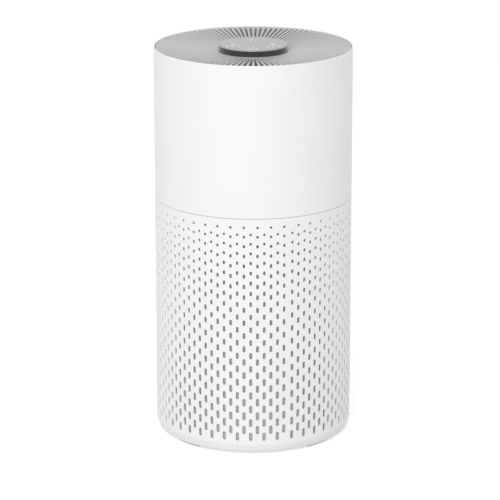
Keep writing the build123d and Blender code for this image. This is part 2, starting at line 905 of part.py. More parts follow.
with BuildPart() as board_screws:
    with BuildSketch(Plane.XY.offset(hub_floor)):
        with PolarLocations(standoff_radius, mount_count, start_angle=180 / mount_count):
            Circle(screw_dia / 2)
    extrude(amount=board_top - hub_floor)
    with BuildSketch(Plane.XY.offset(board_top)):
        with PolarLocations(standoff_radius, mount_count, start_angle=180 / mount_count):
            Circle(screw_head_dia / 2)
    extrude(amount=screw_head_height)
save(board_screws, "board_screws")

# Upper shell: plain cylinder with a thin rim, a ledge for the grille, screw bosses, window for the plug
boss_r = screw_dia / 2 + slip_gap + boss_wall


def plug_window():
    """Cut the square recess of the power inlet from the outside in."""
    block(
        (jack_recess_size, 2 * jack_recess_depth, jack_recess_size),
        (0, recess_y + jack_recess_depth, jack_z),
        mode=Mode.SUBTRACT,
    )


with BuildPart() as upper_shell:
    lathe(
        (bore_r, seam_high),
        (shell_r, seam_high),
        (shell_r, body_height),
        (shell_r - rim_wall, body_height),
        (shell_r - rim_wall, rim_seat),
        (rim_ledge_r, rim_seat),
        (rim_ledge_r, rim_ledge_low),
        (bore_r, rim_ledge_low),
    )
    top_circles = upper_shell.edges().filter_by(GeomType.CIRCLE).group_by(Axis.Z)[-1]
    rim_edge = top_circles.sort_by(SortBy.RADIUS)[-1]
    fillet(rim_edge, rim_wall / 2)
    with BuildSketch(Plane.XY.offset(seam_high)):
        with Locations([(x, y) for x, y, _ in at_deck_screws(0)]):
            Circle(boss_r)
        Circle(bore_r + wall / 2, mode=Mode.INTERSECT)
    extrude(amount=screw_bite + boss_extra)
    plug_window()
    with BuildSketch(Plane.XY.offset(seam_high)):
        with Locations([(x, y) for x, y, _ in at_deck_screws(0)]):
            Circle(screw_dia / 2 + slip_gap)
    extrude(amount=screw_bite + boss_extra / 2, mode=Mode.SUBTRACT)
save(upper_shell, "upper_shell")

# Plate behind the window, which is the floor of the recess and carries the power inlet
plate_size = jack_recess_size + 2 * jack_pad_margin
plate_depth = bore_r - jack_pad_y
with BuildPart() as inlet_plate:
    block((plate_size, plate_depth, plate_size), (0, jack_pad_y + plate_depth / 2, jack_z))
    tube(bore_r - slip_gap, 0, jack_z - plate_size, jack_z + plate_size, mode=Mode.INTERSECT)
    plug_window()
    rear_tube(jack_body_dia / 2 + slip_gap, 0, jack_pad_y - wall, shell_r, mode=Mode.SUBTRACT)
save(inlet_plate, "inlet_plate")

# Power inlet: barrel socket held by a nut, its centre pin, and the lead to the main board
with BuildPart() as power_jack:
    rear_tube(jack_flange_dia / 2, 0, recess_y, jack_face_y)
    rear_tube(jack_body_dia / 2, 0, jack_tail_y, recess_y)
    block(
        (terminal_size, terminal_size, terminal_top - jack_z),
        (0, terminal_y, (terminal_top + jack_z) / 2),
    )
    rear_tube(jack_bore_dia / 2, 0, jack_face_y - jack_bore_depth, jack_face_y, mode=Mode.SUBTRACT)
save(power_jack, "power_jack")

with BuildPart() as jack_pin:
    rear_tube(jack_pin_dia / 2, 0, jack_face_y - jack_bore_depth, jack_face_y - jack_pin_setback)
save(jack_pin, "jack_pin")

with BuildPart() as jack_nut:
    with BuildSketch(Plane.XZ.offset(-jack_pad_y)):
        with Locations((0, jack_z)):
            RegularPolygon(jack_nut_dia / 2, 6)
            Circle(jack_body_dia / 2 + slip_gap, mode=Mode.SUBTRACT)
    extrude(amount=jack_nut_thickness)
save(jack_nut, "jack_nut")

with BuildPart() as power_lead:
    with BuildLine(Plane.YZ) as lead_path:
        FilletPolyline(
            (terminal_y, terminal_top),
            (terminal_y, conduit_z),
            (connector_y + connector_size / 2, conduit_z),
            radius=lead_bend,
        )
    with BuildSketch(Plane(origin=lead_path.line @ 0, z_dir=lead_path.line % 0)):
        Circle(lead_r)
    sweep(path=lead_path.line)
save(power_lead, "power_lead")

# Outlet grille: a dished ring of radial fins round a hub, made from equal slices
fin_pitch = 360 / fin_count
slot_top = 2 * dish_depth
with BuildPart() as fin_slice:
    with BuildSketch(Plane.XZ):
        with BuildLine():
            Polyline(
                (hub_seat_r, dish_low),
                (hub_seat_r, hub_seat_z),
                (lead_hole_r, hub_seat_z),
                (lead_hole_r, rim_ledge_low),
                (fin_in_r, rim_ledge_low),
                (rim_ledge_r - part_gap, rim_seat),
                (grille_r, rim_seat),
                (grille_r, grille_top),
                (fin_out_r, grille_top),
            )
            Spline((fin_out_r, grille_top), (fin_in_r, dish_low), tangents=((-1, 0), (-1, 0)))
            Line((fin_in_r, dish_low), (hub_seat_r, dish_low))
        make_face()
    revolve(axis=Axis.Z, revolution_arc=fin_pitch)
with BuildPart() as slotted_slice:
    add(fin_slice.part.rotate(Axis.Z, -fin_pitch / 2))
    with BuildSketch(Plane.XY.offset(rim_ledge_low - slot_top)):
        slot_half = math.tan(math.radians(slot_angle / 2))
        with BuildLine():
            Polyline(
                (fin_in_r, -fin_in_r * slot_half),
                (fin_out_r, -fin_out_r * slot_half),
                (fin_out_r, fin_out_r * slot_half),
                (fin_in_r, fin_in_r * slot_half),
                close=True,
            )
        make_face()
    extrude(amount=rim_drop + rim_ledge_thickness + 2 * slot_top, mode=Mode.SUBTRACT)
fin_faces = ring_faces(slotted_slice.part, fin_pitch / 2)
fin_angles = [fin_pitch * (index + 0.5) - 90 for index in range(fin_count)]
with BuildPart() as outlet_grille:
    add(close_ring([(fin_faces, angle) for angle in fin_angles]), clean=False)
save(outlet_grille, "outlet_grille")

# Control panel: dark cup on the grille hub, touch board, light guide and grey top lens
cup_in_r = disc_r - disc_wall
with BuildPart() as control_base:
    tube(disc_r, lead_hole_r, hub_seat_z, disc_floor)
    tube(disc_r, cup_in_r, disc_floor, lens_low)
    with BuildSketch(Plane.XY.offset(disc_floor)):
        with PolarLocations(cup_in_r - standoff_dia, mount_count):
            Circle(standoff_dia / 2)
    extrude(amount=touch_low - disc_floor)
save(control_base, "control_base")

with BuildPart() as touch_board:
    tube(cup_in_r - part_gap, 0, touch_low, guide_low)
save(touch_board, "touch_board")

with BuildPart() as light_guide:
    tube(cup_in_r - part_gap, 0, guide_low, lens_low)
save(light_guide, "light_guide")

with BuildPart() as control_lens:
    tube(disc_r, 0, lens_low, disc_top)
    fillet(control_lens.edges().group_by(Axis.Z)[-1], disc_round)
save(control_lens, "control_lens")

panel_part_height = (touch_low - disc_floor) / 2
with BuildPart() as panel_parts:
    with BuildSketch(Plane.XY.offset(touch_low - panel_part_height)):
        with Locations((0, 0), (chip_x, 0), (-chip_x, 0)):
            Rectangle(chip_size, chip_size)
    extrude(amount=panel_part_height)
save(panel_parts, "panel_parts")

with BuildPart() as panel_lead:
    tube(panel_lead_dia / 2, 0, board_top + connector_height, touch_low - panel_part_height)
save(panel_lead, "panel_lead")
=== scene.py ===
# %% [markdown]
# # An air purifier, dressed in Blender
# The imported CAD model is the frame: its solids stay where they are and move with their bodies.
# Here the surfaces that people see get their finished shapes and materials.
# Lengths are written in millimetres, as on a drawing, and turned into metres by one factor.

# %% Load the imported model
import json
import math

import bmesh
import bpy
from mathutils import Matrix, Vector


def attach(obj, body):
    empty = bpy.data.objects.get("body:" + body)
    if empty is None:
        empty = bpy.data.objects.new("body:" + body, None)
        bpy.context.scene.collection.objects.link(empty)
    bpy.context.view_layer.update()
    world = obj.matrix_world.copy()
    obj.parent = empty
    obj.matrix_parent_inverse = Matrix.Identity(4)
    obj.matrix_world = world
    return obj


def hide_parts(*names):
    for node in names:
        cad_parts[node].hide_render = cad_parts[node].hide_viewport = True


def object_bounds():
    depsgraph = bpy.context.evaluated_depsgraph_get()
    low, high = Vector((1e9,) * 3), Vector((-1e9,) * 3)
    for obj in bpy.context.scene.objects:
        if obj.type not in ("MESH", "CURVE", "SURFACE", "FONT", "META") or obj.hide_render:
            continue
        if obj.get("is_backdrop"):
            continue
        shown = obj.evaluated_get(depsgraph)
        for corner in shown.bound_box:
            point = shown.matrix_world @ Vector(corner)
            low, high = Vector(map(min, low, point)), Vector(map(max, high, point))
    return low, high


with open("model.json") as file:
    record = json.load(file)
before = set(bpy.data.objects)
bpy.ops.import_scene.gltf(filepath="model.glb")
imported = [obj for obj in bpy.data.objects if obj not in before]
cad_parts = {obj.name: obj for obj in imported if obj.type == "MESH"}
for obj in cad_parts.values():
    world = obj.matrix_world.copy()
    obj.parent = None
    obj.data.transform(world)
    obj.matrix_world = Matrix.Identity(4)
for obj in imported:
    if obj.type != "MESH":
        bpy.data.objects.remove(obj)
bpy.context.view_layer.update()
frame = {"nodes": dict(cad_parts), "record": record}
MM = 0.001

# %% [markdown]
# ## Working by hand from code
# Operators act on all that is selected, and the loaded CAD parts are selected. So everything is
# deselected before a primitive is added. In edit mode, parts of the mesh are picked by their place.
# A test function is easier to read than index numbers, which change with every operator.

# %% Selection helpers
def clear_selection():
    """Go to object mode with nothing selected."""
    if bpy.context.mode != "OBJECT":
        bpy.ops.object.mode_set(mode="OBJECT")
    bpy.ops.object.select_all(action="DESELECT")


def rename(piece, name):
    """Name an object and its mesh."""
    piece.name = name
    piece.data.name = name


def begin(name):
    """Name the primitive that was just added and open it in edit mode, all selected."""
    piece = bpy.context.object
    rename(piece, name)
    bpy.ops.object.mode_set(mode="EDIT")
    bpy.ops.mesh.select_mode(type="VERT")
    bpy.ops.mesh.select_all(action="SELECT")
    return piece


def pick(piece, kind, test):
    """Select only the vertices, edges or faces whose points all pass a test of their place."""
    bpy.ops.mesh.select_mode(type=kind)
    bpy.ops.mesh.select_all(action="DESELECT")
    mesh = bmesh.from_edit_mesh(piece.data)
    parts = {"VERT": mesh.verts, "EDGE": mesh.edges, "FACE": mesh.faces}[kind]
    for part in parts:
        points = [part] if kind == "VERT" else part.verts
        if all(test(point.co) for point in points):
            part.select_set(True)
    bmesh.update_edit_mesh(piece.data)


def near(value, target, room=0.002):
    """True if a length in metres is at a target in millimetres."""
    return abs(value - target * MM) < room * MM


# %% [markdown]
# ## A lathe
# Most of this object is round. On the bench such pieces are turned; in Blender the outline of the
# section is drawn point by point, its corners are bevelled, and the Spin operator turns it once
# round the axis. A cylinder primitive would be quicker, but has no wall, no ledges and no soft edges.

# %% Turn a section about the axis
SPIN_STEPS = 256


def close_mesh(threshold=0.002):
    """Merge the points that meet and turn the faces outwards."""
    bpy.ops.mesh.select_all(action="SELECT")
    bpy.ops.mesh.remove_doubles(threshold=threshold * MM)
    bpy.ops.mesh.normals_make_consistent(inside=False)


def one_point(name, place):
    """A new mesh in edit mode: one selected point to extrude from, at a place in millimetres."""
    clear_selection()
    bpy.ops.mesh.primitive_plane_add(size=MM)
    piece = begin(name)
    bpy.ops.mesh.merge(type="CENTER")
    bpy.ops.transform.translate(value=[step * MM for step in place])
    return piece


def turned(name, corners, steps=SPIN_STEPS):
    """Spin a closed outline of (radius, height) corners about Z.

    A third item of a corner rounds it by (size, segments).
    """
    radius, height = corners[0][:2]
    piece = one_point(name, (radius, 0, height))
    for to_radius, to_height, *_ in corners[1:]:
        step = ((to_radius - radius) * MM, 0, (to_height - height) * MM)
        bpy.ops.mesh.extrude_vertices_move(TRANSFORM_OT_translate={"value": step})
        radius, height = to_radius, to_height
    bpy.ops.mesh.select_all(action="SELECT")
    bpy.ops.mesh.edge_face_add()
    for at_radius, at_height, *rounding in corners:
        for size, segments in rounding:
            pick(piece, "VERT", lambda point: near(point.x, at_radius) and near(point.z, at_height))
            bpy.ops.mesh.bevel(offset=size * MM, segments=segments, affect="VERTICES")
    bpy.ops.mesh.select_all(action="SELECT")
    bpy.ops.mesh.delete(type="ONLY_FACE")
    bpy.ops.mesh.select_all(action="SELECT")
    bpy.ops.mesh.spin(steps=steps, angle=2 * math.pi, center=(0, 0, 0), axis=(0, 0, 1))
    close_mesh()
    bpy.ops.object.mode_set(mode="OBJECT")
    return piece


# %% [markdown]
# ## Shared effects of the finishes
# Moulded plastic, paper, foam and metal differ in colour, but share a few effects: a fine grain, a
# slow drift of tone, a weave, a speckle. Each is a node group with named inputs, built once and
# placed in each material with its own values. All read Object coordinates, which are the same
# metres as the CAD frame, so a pattern stays with its piece at every pose.

# %% A node group with named sockets
def new_group(name, inputs, outputs):
    """An empty shader node group; inputs are (label, default) pairs of numbers or colours."""
    tree = bpy.data.node_groups.new(name, "ShaderNodeTree")
    for label, value in inputs:
        kind = "NodeSocketColor" if isinstance(value, tuple) else "NodeSocketFloat"
        socket = tree.interface.new_socket(label, in_out="INPUT", socket_type=kind)
        socket.default_value = value
    for label in outputs:
        kind = "NodeSocketColor" if label == "Color" else "NodeSocketFloat"
        tree.interface.new_socket(label, in_out="OUTPUT", socket_type=kind)
    return tree, tree.nodes.new("NodeGroupInput").outputs, tree.nodes.new("NodeGroupOutput").inputs


def set_inputs(node, **values):
    """Set inputs of a node by their labels, with _ for a blank."""
    for label, value in values.items():
        node.inputs[label.replace("_", " ")].default_value = value


def feed(tree, socket, value):
    """Set a socket to a number or a colour, or link another socket to it."""
    if isinstance(value, (int, float, tuple)):
        socket.default_value = value
    else:
        tree.links.new(value, socket)


# %% Nodes that the groups are made of
def object_place(tree):
    """The place on the piece, in metres of the CAD frame."""
    return tree.nodes.new("ShaderNodeTexCoord").outputs["Object"]


def object_axes(tree):
    """The place on the piece, split into X, Y and Z."""
    node = tree.nodes.new("ShaderNodeSeparateXYZ")
    tree.links.new(object_place(tree), node.inputs[0])
    return node.outputs


def add_math(tree, operation, *operands):
    """A Math node; each operand is a socket or a number."""
    node = tree.nodes.new("ShaderNodeMath")
    node.operation = operation
    for socket, value in zip(node.inputs, operands):
        feed(tree, socket, value)
    return node.outputs[0]


def add_noise(tree, place, scale, detail):
    """A Noise texture on a place socket; scale is a socket, in cells per metre."""
    node = tree.nodes.new("ShaderNodeTexNoise")
    set_inputs(node, Detail=detail)
    tree.links.new(place, node.inputs["Vector"])
    tree.links.new(scale, node.inputs["Scale"])
    return node.outputs["Fac"]


def add_range(tree, value, low, high, from_low=0.3, from_high=0.7):
    """Map a value to a range between two sockets or numbers; noise fills 0.3 to 0.7."""
    node = tree.nodes.new("ShaderNodeMapRange")
    set_inputs(node, From_Min=from_low, From_Max=from_high)
    for label, given in (("Value", value), ("To Min", low), ("To Max", high)):
        feed(tree, node.inputs[label], given)
    return node.outputs["Result"]


def add_mix(tree, share, first, second):
    """Mix two colours, each a socket or an (r, g, b, a) tuple."""
    node = tree.nodes.new("ShaderNodeMix")
    node.data_type = "RGBA"
    tree.links.new(share, node.inputs["Factor"])
    sockets = [item for item in node.inputs if item.type == "RGBA"]
    for socket, value in zip(sockets, (first, second)):
        feed(tree, socket, value)
    return [item for item in node.outputs if item.type == "RGBA"][0]


# %% Grain and drift
FINE_DETAIL = 3.0
BROAD_DETAIL = 4.0
BROAD_SCALE = 0.03
DRIFT_FROM = 0.35
DRIFT_TO = 0.65


def grain_group():
    """The fine texture of a mould: height for a bump, and roughness that wanders a little."""
    inputs = [("Scale", 1500.0), ("Low Roughness", 0.4), ("High Roughness", 0.5)]
    tree, given, made = new_group("mould_grain", inputs, ["Roughness", "Height"])
    place = object_place(tree)
    fine = add_noise(tree, place, given["Scale"], FINE_DETAIL)
    broad_scale = add_math(tree, "MULTIPLY", given["Scale"], BROAD_SCALE)
    broad = add_noise(tree, place, broad_scale, BROAD_DETAIL)
    wander = add_range(tree, broad, given["Low Roughness"], given["High Roughness"])
    tree.links.new(wander, made["Roughness"])
    tree.links.new(fine, made["Height"])
    return tree


def drift_group():
    """Two near tones that change slowly over a surface, as batches and age make them."""
    inputs = [("Tone", (0.8, 0.8, 0.8, 1.0)), ("Other Tone", (0.7, 0.7, 0.7, 1.0)), ("Scale", 12.0)]
    tree, given, made = new_group("tone_drift", inputs, ["Color"])
    slow = add_noise(tree, object_place(tree), given["Scale"], FINE_DETAIL)
    share = add_range(tree, slow, 0.0, 1.0, DRIFT_FROM, DRIFT_TO)
    tree.links.new(add_mix(tree, share, given["Tone"], given["Other Tone"]), made["Color"])
    return tree


effects = {"grain": grain_group(), "drift": drift_group()}
print("Effects for moulded pieces:", ", ".join(effects))

# %% Weave and speckle
THREAD_FROM = 0.72
THREAD_TO = 0.86


def weave_group():
    """Crossed threads on a round wall: how much thread shows, and its height."""
    inputs = [("Threads Around", 400.0), ("Threads Per Metre", 700.0)]
    tree, given, made = new_group("round_weave", inputs, ["Thread", "Height"])

    def ridges(count, half_wave):
        """Rounded ridges, one for each thread."""
        wave = add_math(tree, "SINE", add_math(tree, "MULTIPLY", count, half_wave))
        return add_math(tree, "ABSOLUTE", wave)

    axes = object_axes(tree)
    angle = add_math(tree, "ARCTAN2", axes["Y"], axes["X"])
    around = add_math(tree, "MULTIPLY", angle, given["Threads Around"])
    up = add_math(tree, "MULTIPLY", axes["Z"], given["Threads Per Metre"])
    height = add_math(tree, "MAXIMUM", ridges(around, 0.5), ridges(up, math.pi))
    thread = add_range(tree, height, 0.0, 1.0, THREAD_FROM, THREAD_TO)
    tree.links.new(thread, made["Thread"])
    tree.links.new(height, made["Height"])
    return tree


def speckle_group():
    """Cells of different grey, for foam, granules and fibres."""
    tree, given, made = new_group("speckle", [("Scale", 900.0)], ["Cell", "Height"])
    cells = tree.nodes.new("ShaderNodeTexVoronoi")
    tree.links.new(object_place(tree), cells.inputs["Vector"])
    tree.links.new(given["Scale"], cells.inputs["Scale"])
    grey_of_cell = tree.nodes.new("ShaderNodeSeparateColor")
    tree.links.new(cells.outputs["Color"], grey_of_cell.inputs[0])
    tree.links.new(grey_of_cell.outputs[0], made["Cell"])
    tree.links.new(cells.outputs["Distance"], made["Height"])
    return tree


effects.update(weave=weave_group(), speckle=speckle_group())
print("Shared effects:", ", ".join(effects))

# %% [markdown]
# ## The finishes
# Every material is a Principled shader; the moulded ones have a tone that drifts a little and a grain
# that a light catches. White moulded plastic looks flat and dead with one colour; real shells vary by
# a few percent, and their satin texture spreads the highlight. Metals differ by their metallic value.

# %% A material, and effects placed in it
def new_finish(slot, **values):
    """A material and the inputs of its Principled shader, some of them set to plain values."""
    material = bpy.data.materials.new(slot)
    material.use_nodes = True
    shader = material.node_tree.nodes["Principled BSDF"]
    set_inputs(shader, **values)
    return material, shader.inputs


def use(material, effect, **values):
    """Place a shared effect in a material with its own values, and give its outputs."""
    node = material.node_tree.nodes.new("ShaderNodeGroup")
    node.node_tree = effects[effect]
    set_inputs(node, **values)
    return node.outputs


def bump(material, height, strength, distance):
    """Let a height shape the surface normal; distance is in millimetres."""
    tree = material.node_tree
    node = tree.nodes.new("ShaderNodeBump")
    set_inputs(node, Strength=strength, Distance=distance * MM)
    tree.links.new(height, node.inputs["Height"])
    tree.links.new(node.outputs["Normal"], tree.nodes["Principled BSDF"].inputs["Normal"])


def opaque(color, factor=1.0):
    """A colour tuple for a socket, made lighter or darker by a factor."""
    return tuple(min(1.0, channel * factor) for channel in color) + (1.0,)


# %% Moulded, woven and speckled materials
DRIFT_SCALE = 14.0
MOULD_BUMP = 0.35
WEAVE_BUMP = 0.6
WEAVE_DEPTH = 0.15
CELL_BUMP = 0.7
# Heights in millimetres over which the painted shade of the net grows from none to full.
PAINTED_SHADE_LOW = 20.0
PAINTED_SHADE_TOP = 220.0


def moulded(slot, color, rough, drift=0.97, grain=1500.0, depth=0.02, metallic=0.0, coat=0.0):
    """Plastic, rubber or metal from a mould or a machine; rough is a lowest and highest value."""
    material, shader = new_finish(slot, Metallic=metallic, Coat_Weight=coat)
    links = material.node_tree.links
    other = opaque(color, drift)
    tone = use(material, "drift", Tone=opaque(color), Other_Tone=other, Scale=DRIFT_SCALE)
    links.new(tone["Color"], shader["Base Color"])
    low, high = rough
    skin = use(material, "grain", Scale=grain, Low_Roughness=low, High_Roughness=high)
    links.new(skin["Roughness"], shader["Roughness"])
    bump(material, skin["Height"], MOULD_BUMP, depth)
    return material


def woven(slot, thread, gap, around, per_metre, rough, painted_top_shade=1.0):
    """A net or fabric wall round the axis; painted shade can darken its upper end by a factor."""
    material, shader = new_finish(slot, Roughness=rough)
    tree = material.node_tree
    weave = use(material, "weave", Threads_Around=around, Threads_Per_Metre=per_metre)
    tone = add_mix(tree, weave["Thread"], opaque(gap), opaque(thread))
    # Painted shade: the tone is blended darker towards the top of the net, for the shade in its upper
    # slots.
    if painted_top_shade < 1.0:
        painted_shade_tone = add_mix(tree, weave["Thread"], opaque(gap, painted_top_shade), opaque(thread, painted_top_shade))
        height = object_axes(tree)["Z"]
        rise = add_range(tree, height, 0.0, 1.0, PAINTED_SHADE_LOW * MM, PAINTED_SHADE_TOP * MM)
        tone = add_mix(tree, rise, tone, painted_shade_tone)
    tree.links.new(tone, shader["Base Color"])
    bump(material, weave["Height"], WEAVE_BUMP, WEAVE_DEPTH)
    return material


def speckled(slot, dark, light, cells, rough, depth):
    """Foam, granules or fibres: cells of two tones, so many to a metre."""
    material, shader = new_finish(slot, Roughness=rough)
    tree = material.node_tree
    cell = use(material, "speckle", Scale=cells)
    tree.links.new(add_mix(tree, cell["Cell"], opaque(dark), opaque(light)), shader["Base Color"])
    bump(material, cell["Height"], CELL_BUMP, depth)
    return material


# %% The finishes of this object
def grey(tone):
    """A neutral colour."""
    return (tone, tone, tone)


moulded_looks = {
    "white_shell": dict(
        color=(0.86, 0.86, 0.85), rough=(0.36, 0.44), drift=0.985, grain=1800.0, depth=0.015
    ),
    "white_base": dict(color=(0.82, 0.82, 0.81), rough=(0.4, 0.5), drift=0.98),
    "grille_grey": dict(color=grey(0.56), rough=(0.38, 0.48)),
    "panel_grey": dict(
        color=grey(0.355), rough=(0.28, 0.34), drift=0.985, grain=2500.0, depth=0.006, coat=0.2
    ),
    "panel_dark": dict(
        color=(0.026, 0.026, 0.028), rough=(0.16, 0.22), drift=0.9, grain=2500.0, depth=0.004, coat=1.0
    ),
    "dark_plastic": dict(color=(0.06, 0.06, 0.063), rough=(0.45, 0.55), drift=0.9),
    "fan_plastic": dict(color=(0.16, 0.16, 0.17), rough=(0.4, 0.5), drift=0.92),
    "filter_cap": dict(color=(0.66, 0.67, 0.68), rough=(0.4, 0.5), drift=0.96),
    "rubber": dict(color=grey(0.48), rough=(0.7, 0.82), drift=0.9, grain=2200.0, depth=0.03),
    "lead_black": dict(color=grey(0.03), rough=(0.45, 0.55), drift=0.9),
    "steel": dict(
        color=(0.6, 0.6, 0.61), rough=(0.22, 0.36), drift=0.95, grain=3000.0, depth=0.01, metallic=1.0
    ),
    "motor_alloy": dict(
        color=(0.55, 0.56, 0.57), rough=(0.4, 0.55), drift=0.93, grain=1200.0, depth=0.04, metallic=1.0
    ),
    "magnet": dict(color=grey(0.09), rough=(0.5, 0.65), drift=0.9, depth=0.03, metallic=0.6),
    "copper": dict(
        color=(0.62, 0.28, 0.14), rough=(0.25, 0.38), drift=0.88, grain=2500.0, depth=0.05, metallic=1.0
    ),
    "board_green": dict(
        color=(0.03, 0.17, 0.08), rough=(0.3, 0.4), drift=0.9, depth=0.01, coat=0.3
    ),
    "chip_black": dict(color=grey(0.03), rough=(0.5, 0.6), drift=0.9),
    "guide_white": dict(color=grey(0.8), rough=(0.3, 0.4)),
    "jack_black": dict(color=(0.022, 0.022, 0.023), rough=(0.28, 0.38), drift=0.9),
    "pin_brass": dict(
        color=(0.7, 0.53, 0.24), rough=(0.2, 0.3), drift=0.93, grain=3000.0, depth=0.01, metallic=1.0
    ),
}
woven_looks = {
    # The net gets painted shade towards its top, its tone darkened by the last factor.
    "net_grey": dict(
        thread=grey(0.58), gap=grey(0.35), around=620.0, per_metre=1000.0, rough=0.6, painted_top_shade=0.55
    ),
    "filter_net": dict(
        thread=(0.8, 0.8, 0.79), gap=(0.42, 0.42, 0.41), around=260.0, per_metre=500.0, rough=0.7
    ),
}
speckled_looks = {
    "filter_paper": dict(
        dark=(0.8, 0.8, 0.77), light=(0.9, 0.9, 0.87), cells=1400.0, rough=0.9, depth=0.04
    ),
    "carbon": dict(dark=grey(0.012), light=grey(0.07), cells=700.0, rough=0.75, depth=0.5),
    "foam": dict(
        dark=(0.05, 0.05, 0.052), light=(0.2, 0.2, 0.205), cells=1300.0, rough=0.95, depth=0.3
    ),
}
finishes = {}
for make, looks in ((moulded, moulded_looks), (woven, woven_looks), (speckled, speckled_looks)):
    for slot, look in looks.items():
        finishes[slot] = make(slot, **look)
print("Finishes:", ", ".join(finishes))

# %% Give every CAD part the finish of its slot
for part in frame["record"]["subparts"]:
    node = frame["nodes"][part["node"]]
    node.data.materials.clear()
    node.data.materials.append(finishes[part["material_slot"]])
print(len(finishes), "finishes on", len(frame["nodes"]), "CAD parts")

# %% [markdown]
# ## Finishing a piece
# Every piece ends in the same way. Its place goes into its mesh, smooth shading stops at sharp edges,
# and weighted normals keep the large faces flat beside small bevels. Then it is parented to the empty
# of the body it rides on, gets the finish of its slot, and the CAD parts it stands for are hidden.

# %% Shade a piece and hand it to the frame
def make_active(piece):
    """Select one piece alone, for operators that work on the active object."""
    clear_selection()
    piece.select_set(True)
    bpy.context.view_layer.objects.active = piece


def apply_modifier(piece, kind, **values):
    """Add a modifier, set its values and apply it at once."""
    make_active(piece)
    modifier = piece.modifiers.new(kind.lower(), kind)
    for name, value in values.items():
        setattr(modifier, name, value)
    bpy.ops.object.modifier_apply(modifier=modifier.name)


def fit(piece, body, slot, *nodes, smooth=35):
    """Shade a finished piece, let it ride on its body and stand for its CAD nodes."""
    make_active(piece)
    bpy.ops.object.transform_apply(location=True, rotation=True, scale=True)
    bpy.ops.object.shade_smooth_by_angle(angle=math.radians(smooth))
    apply_modifier(piece, "WEIGHTED_NORMAL", keep_sharp=True)
    piece.data.materials.clear()
    piece.data.materials.append(finishes[slot])
    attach(piece, body)
    if nodes:
        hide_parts(*nodes)
    triangles = sum(len(face.vertices) - 2 for face in piece.data.polygons)
    print(piece.name, "has", triangles, "triangles")
    return piece


# %% [markdown]
# ## Upper shell
# A plain white tube with a thin rim round the grille and a recess for the plug at the back. It could
# be a cylinder with a Solidify modifier, but the rim, the ledge under the grille and the soft edges
# are all in its section, so it is turned. The window of the plug is cut afterwards with a rounded
# block; the plate behind it, which holds the jack, is a CAD part and stays.

# %% Turn the upper shell
SHELL_R = 100.0
BORE_R = 97.5
SEAM_LOW = 246.3
SEAM_HIGH = 246.7
SEAM_SOFT = 0.15
BODY_TOP = 400.0
RIM_IN_R = 98.7
RIM_SEAT = 391.0
RIM_LEDGE_R = 94.0
RIM_LEDGE_LOW = 388.0
RIM_ROUND = (0.65, 4)
RIM_IN_ROUND = (0.25, 2)
upper_shell = turned(
    "upper_shell_skin",
    [
        (SHELL_R, SEAM_HIGH, (SEAM_SOFT, 2)),
        (SHELL_R, BODY_TOP, RIM_ROUND),
        (RIM_IN_R, BODY_TOP, RIM_IN_ROUND),
        (RIM_IN_R, RIM_SEAT),
        (RIM_LEDGE_R, RIM_SEAT),
        (RIM_LEDGE_R, RIM_LEDGE_LOW),
        (BORE_R, RIM_LEDGE_LOW),
        (BORE_R, SEAM_HIGH),
    ],
)
print("Faces of the turned tube:", len(upper_shell.data.polygons))

# %% Cut the plug recess at the back
JACK_Z = 262.0
RECESS = 20.0
RECESS_ROUND = 2.0
TOOL_IN_Y = 95.0
TOOL_OUT_Y = 104.0


def pick_along(piece, axis, least):
    """Select only the edges that run along an axis, 0 to 2 for X to Z, for a least length in metres."""
    bpy.ops.mesh.select_mode(type="EDGE")
    bpy.ops.mesh.select_all(action="DESELECT")
    mesh = bmesh.from_edit_mesh(piece.data)
    for edge in mesh.edges:
        run = edge.verts[0].co - edge.verts[1].co
        edge.select_set(abs(run[axis]) > least)
    bmesh.update_edit_mesh(piece.data)


def soft_block(name, size, place, soft, segments=3, along=None):
    """A block in millimetres with rounded edges: all of them, or only those along one axis."""
    clear_selection()
    bpy.ops.mesh.primitive_cube_add(size=1)
    block = begin(name)
    bpy.ops.transform.resize(value=[side * MM for side in size], center_override=(0, 0, 0))
    bpy.ops.transform.translate(value=[step * MM for step in place])
    if along is not None:
        pick_along(block, along, size[along] / 2 * MM)
    bpy.ops.mesh.bevel(offset=soft * MM, segments=segments)
    bpy.ops.object.mode_set(mode="OBJECT")
    return block


tool_size = (RECESS, TOOL_OUT_Y - TOOL_IN_Y, RECESS)
tool_place = (0, (TOOL_IN_Y + TOOL_OUT_Y) / 2, JACK_Z)
tool = soft_block("recess_tool", tool_size, tool_place, RECESS_ROUND, segments=6, along=1)
apply_modifier(upper_shell, "BOOLEAN", object=tool, operation="DIFFERENCE", solver="EXACT")
bpy.data.objects.remove(tool)
fit(upper_shell, "housing", "white_shell", "upper_shell")

# %% [markdown]
# ## Lower shell
# Hundreds of small slots let the air in. They stand in staggered columns, and grow towards the base.
# A boolean for each slot would take minutes and leave a ragged mesh. Instead one flat cell is made
# round one slot: a plane with its corners bevelled to a pill, whose edge is extruded out to the
# border of the cell. The cells of a column share their borders, and so do the columns, so copies of
# two columns close up to one clean wall.

# %% Columns of the perforation
FRONT = -90
PANELS = 4
COLUMNS = 23
PANEL_GAP_ANGLE = 4.93
PITCH_ANGLE = (360 / PANELS - PANEL_GAP_ANGLE) / (COLUMNS - 1)
FILLER_ANGLE = PANEL_GAP_ANGLE - PITCH_ANGLE
FIRST_TURN = 67.185
FIRST_ANGLE = FRONT - FIRST_TURN
BAND_TOP = 239.7
BAND_LOW = 12.0
BAND_R = 98.5
half_cell = SHELL_R * math.radians(PITCH_ANGLE) / 2
half_filler = SHELL_R * math.radians(FILLER_ANGLE) / 2
print(PANELS * COLUMNS, "columns,", round(2 * half_cell, 2), "mm apart")

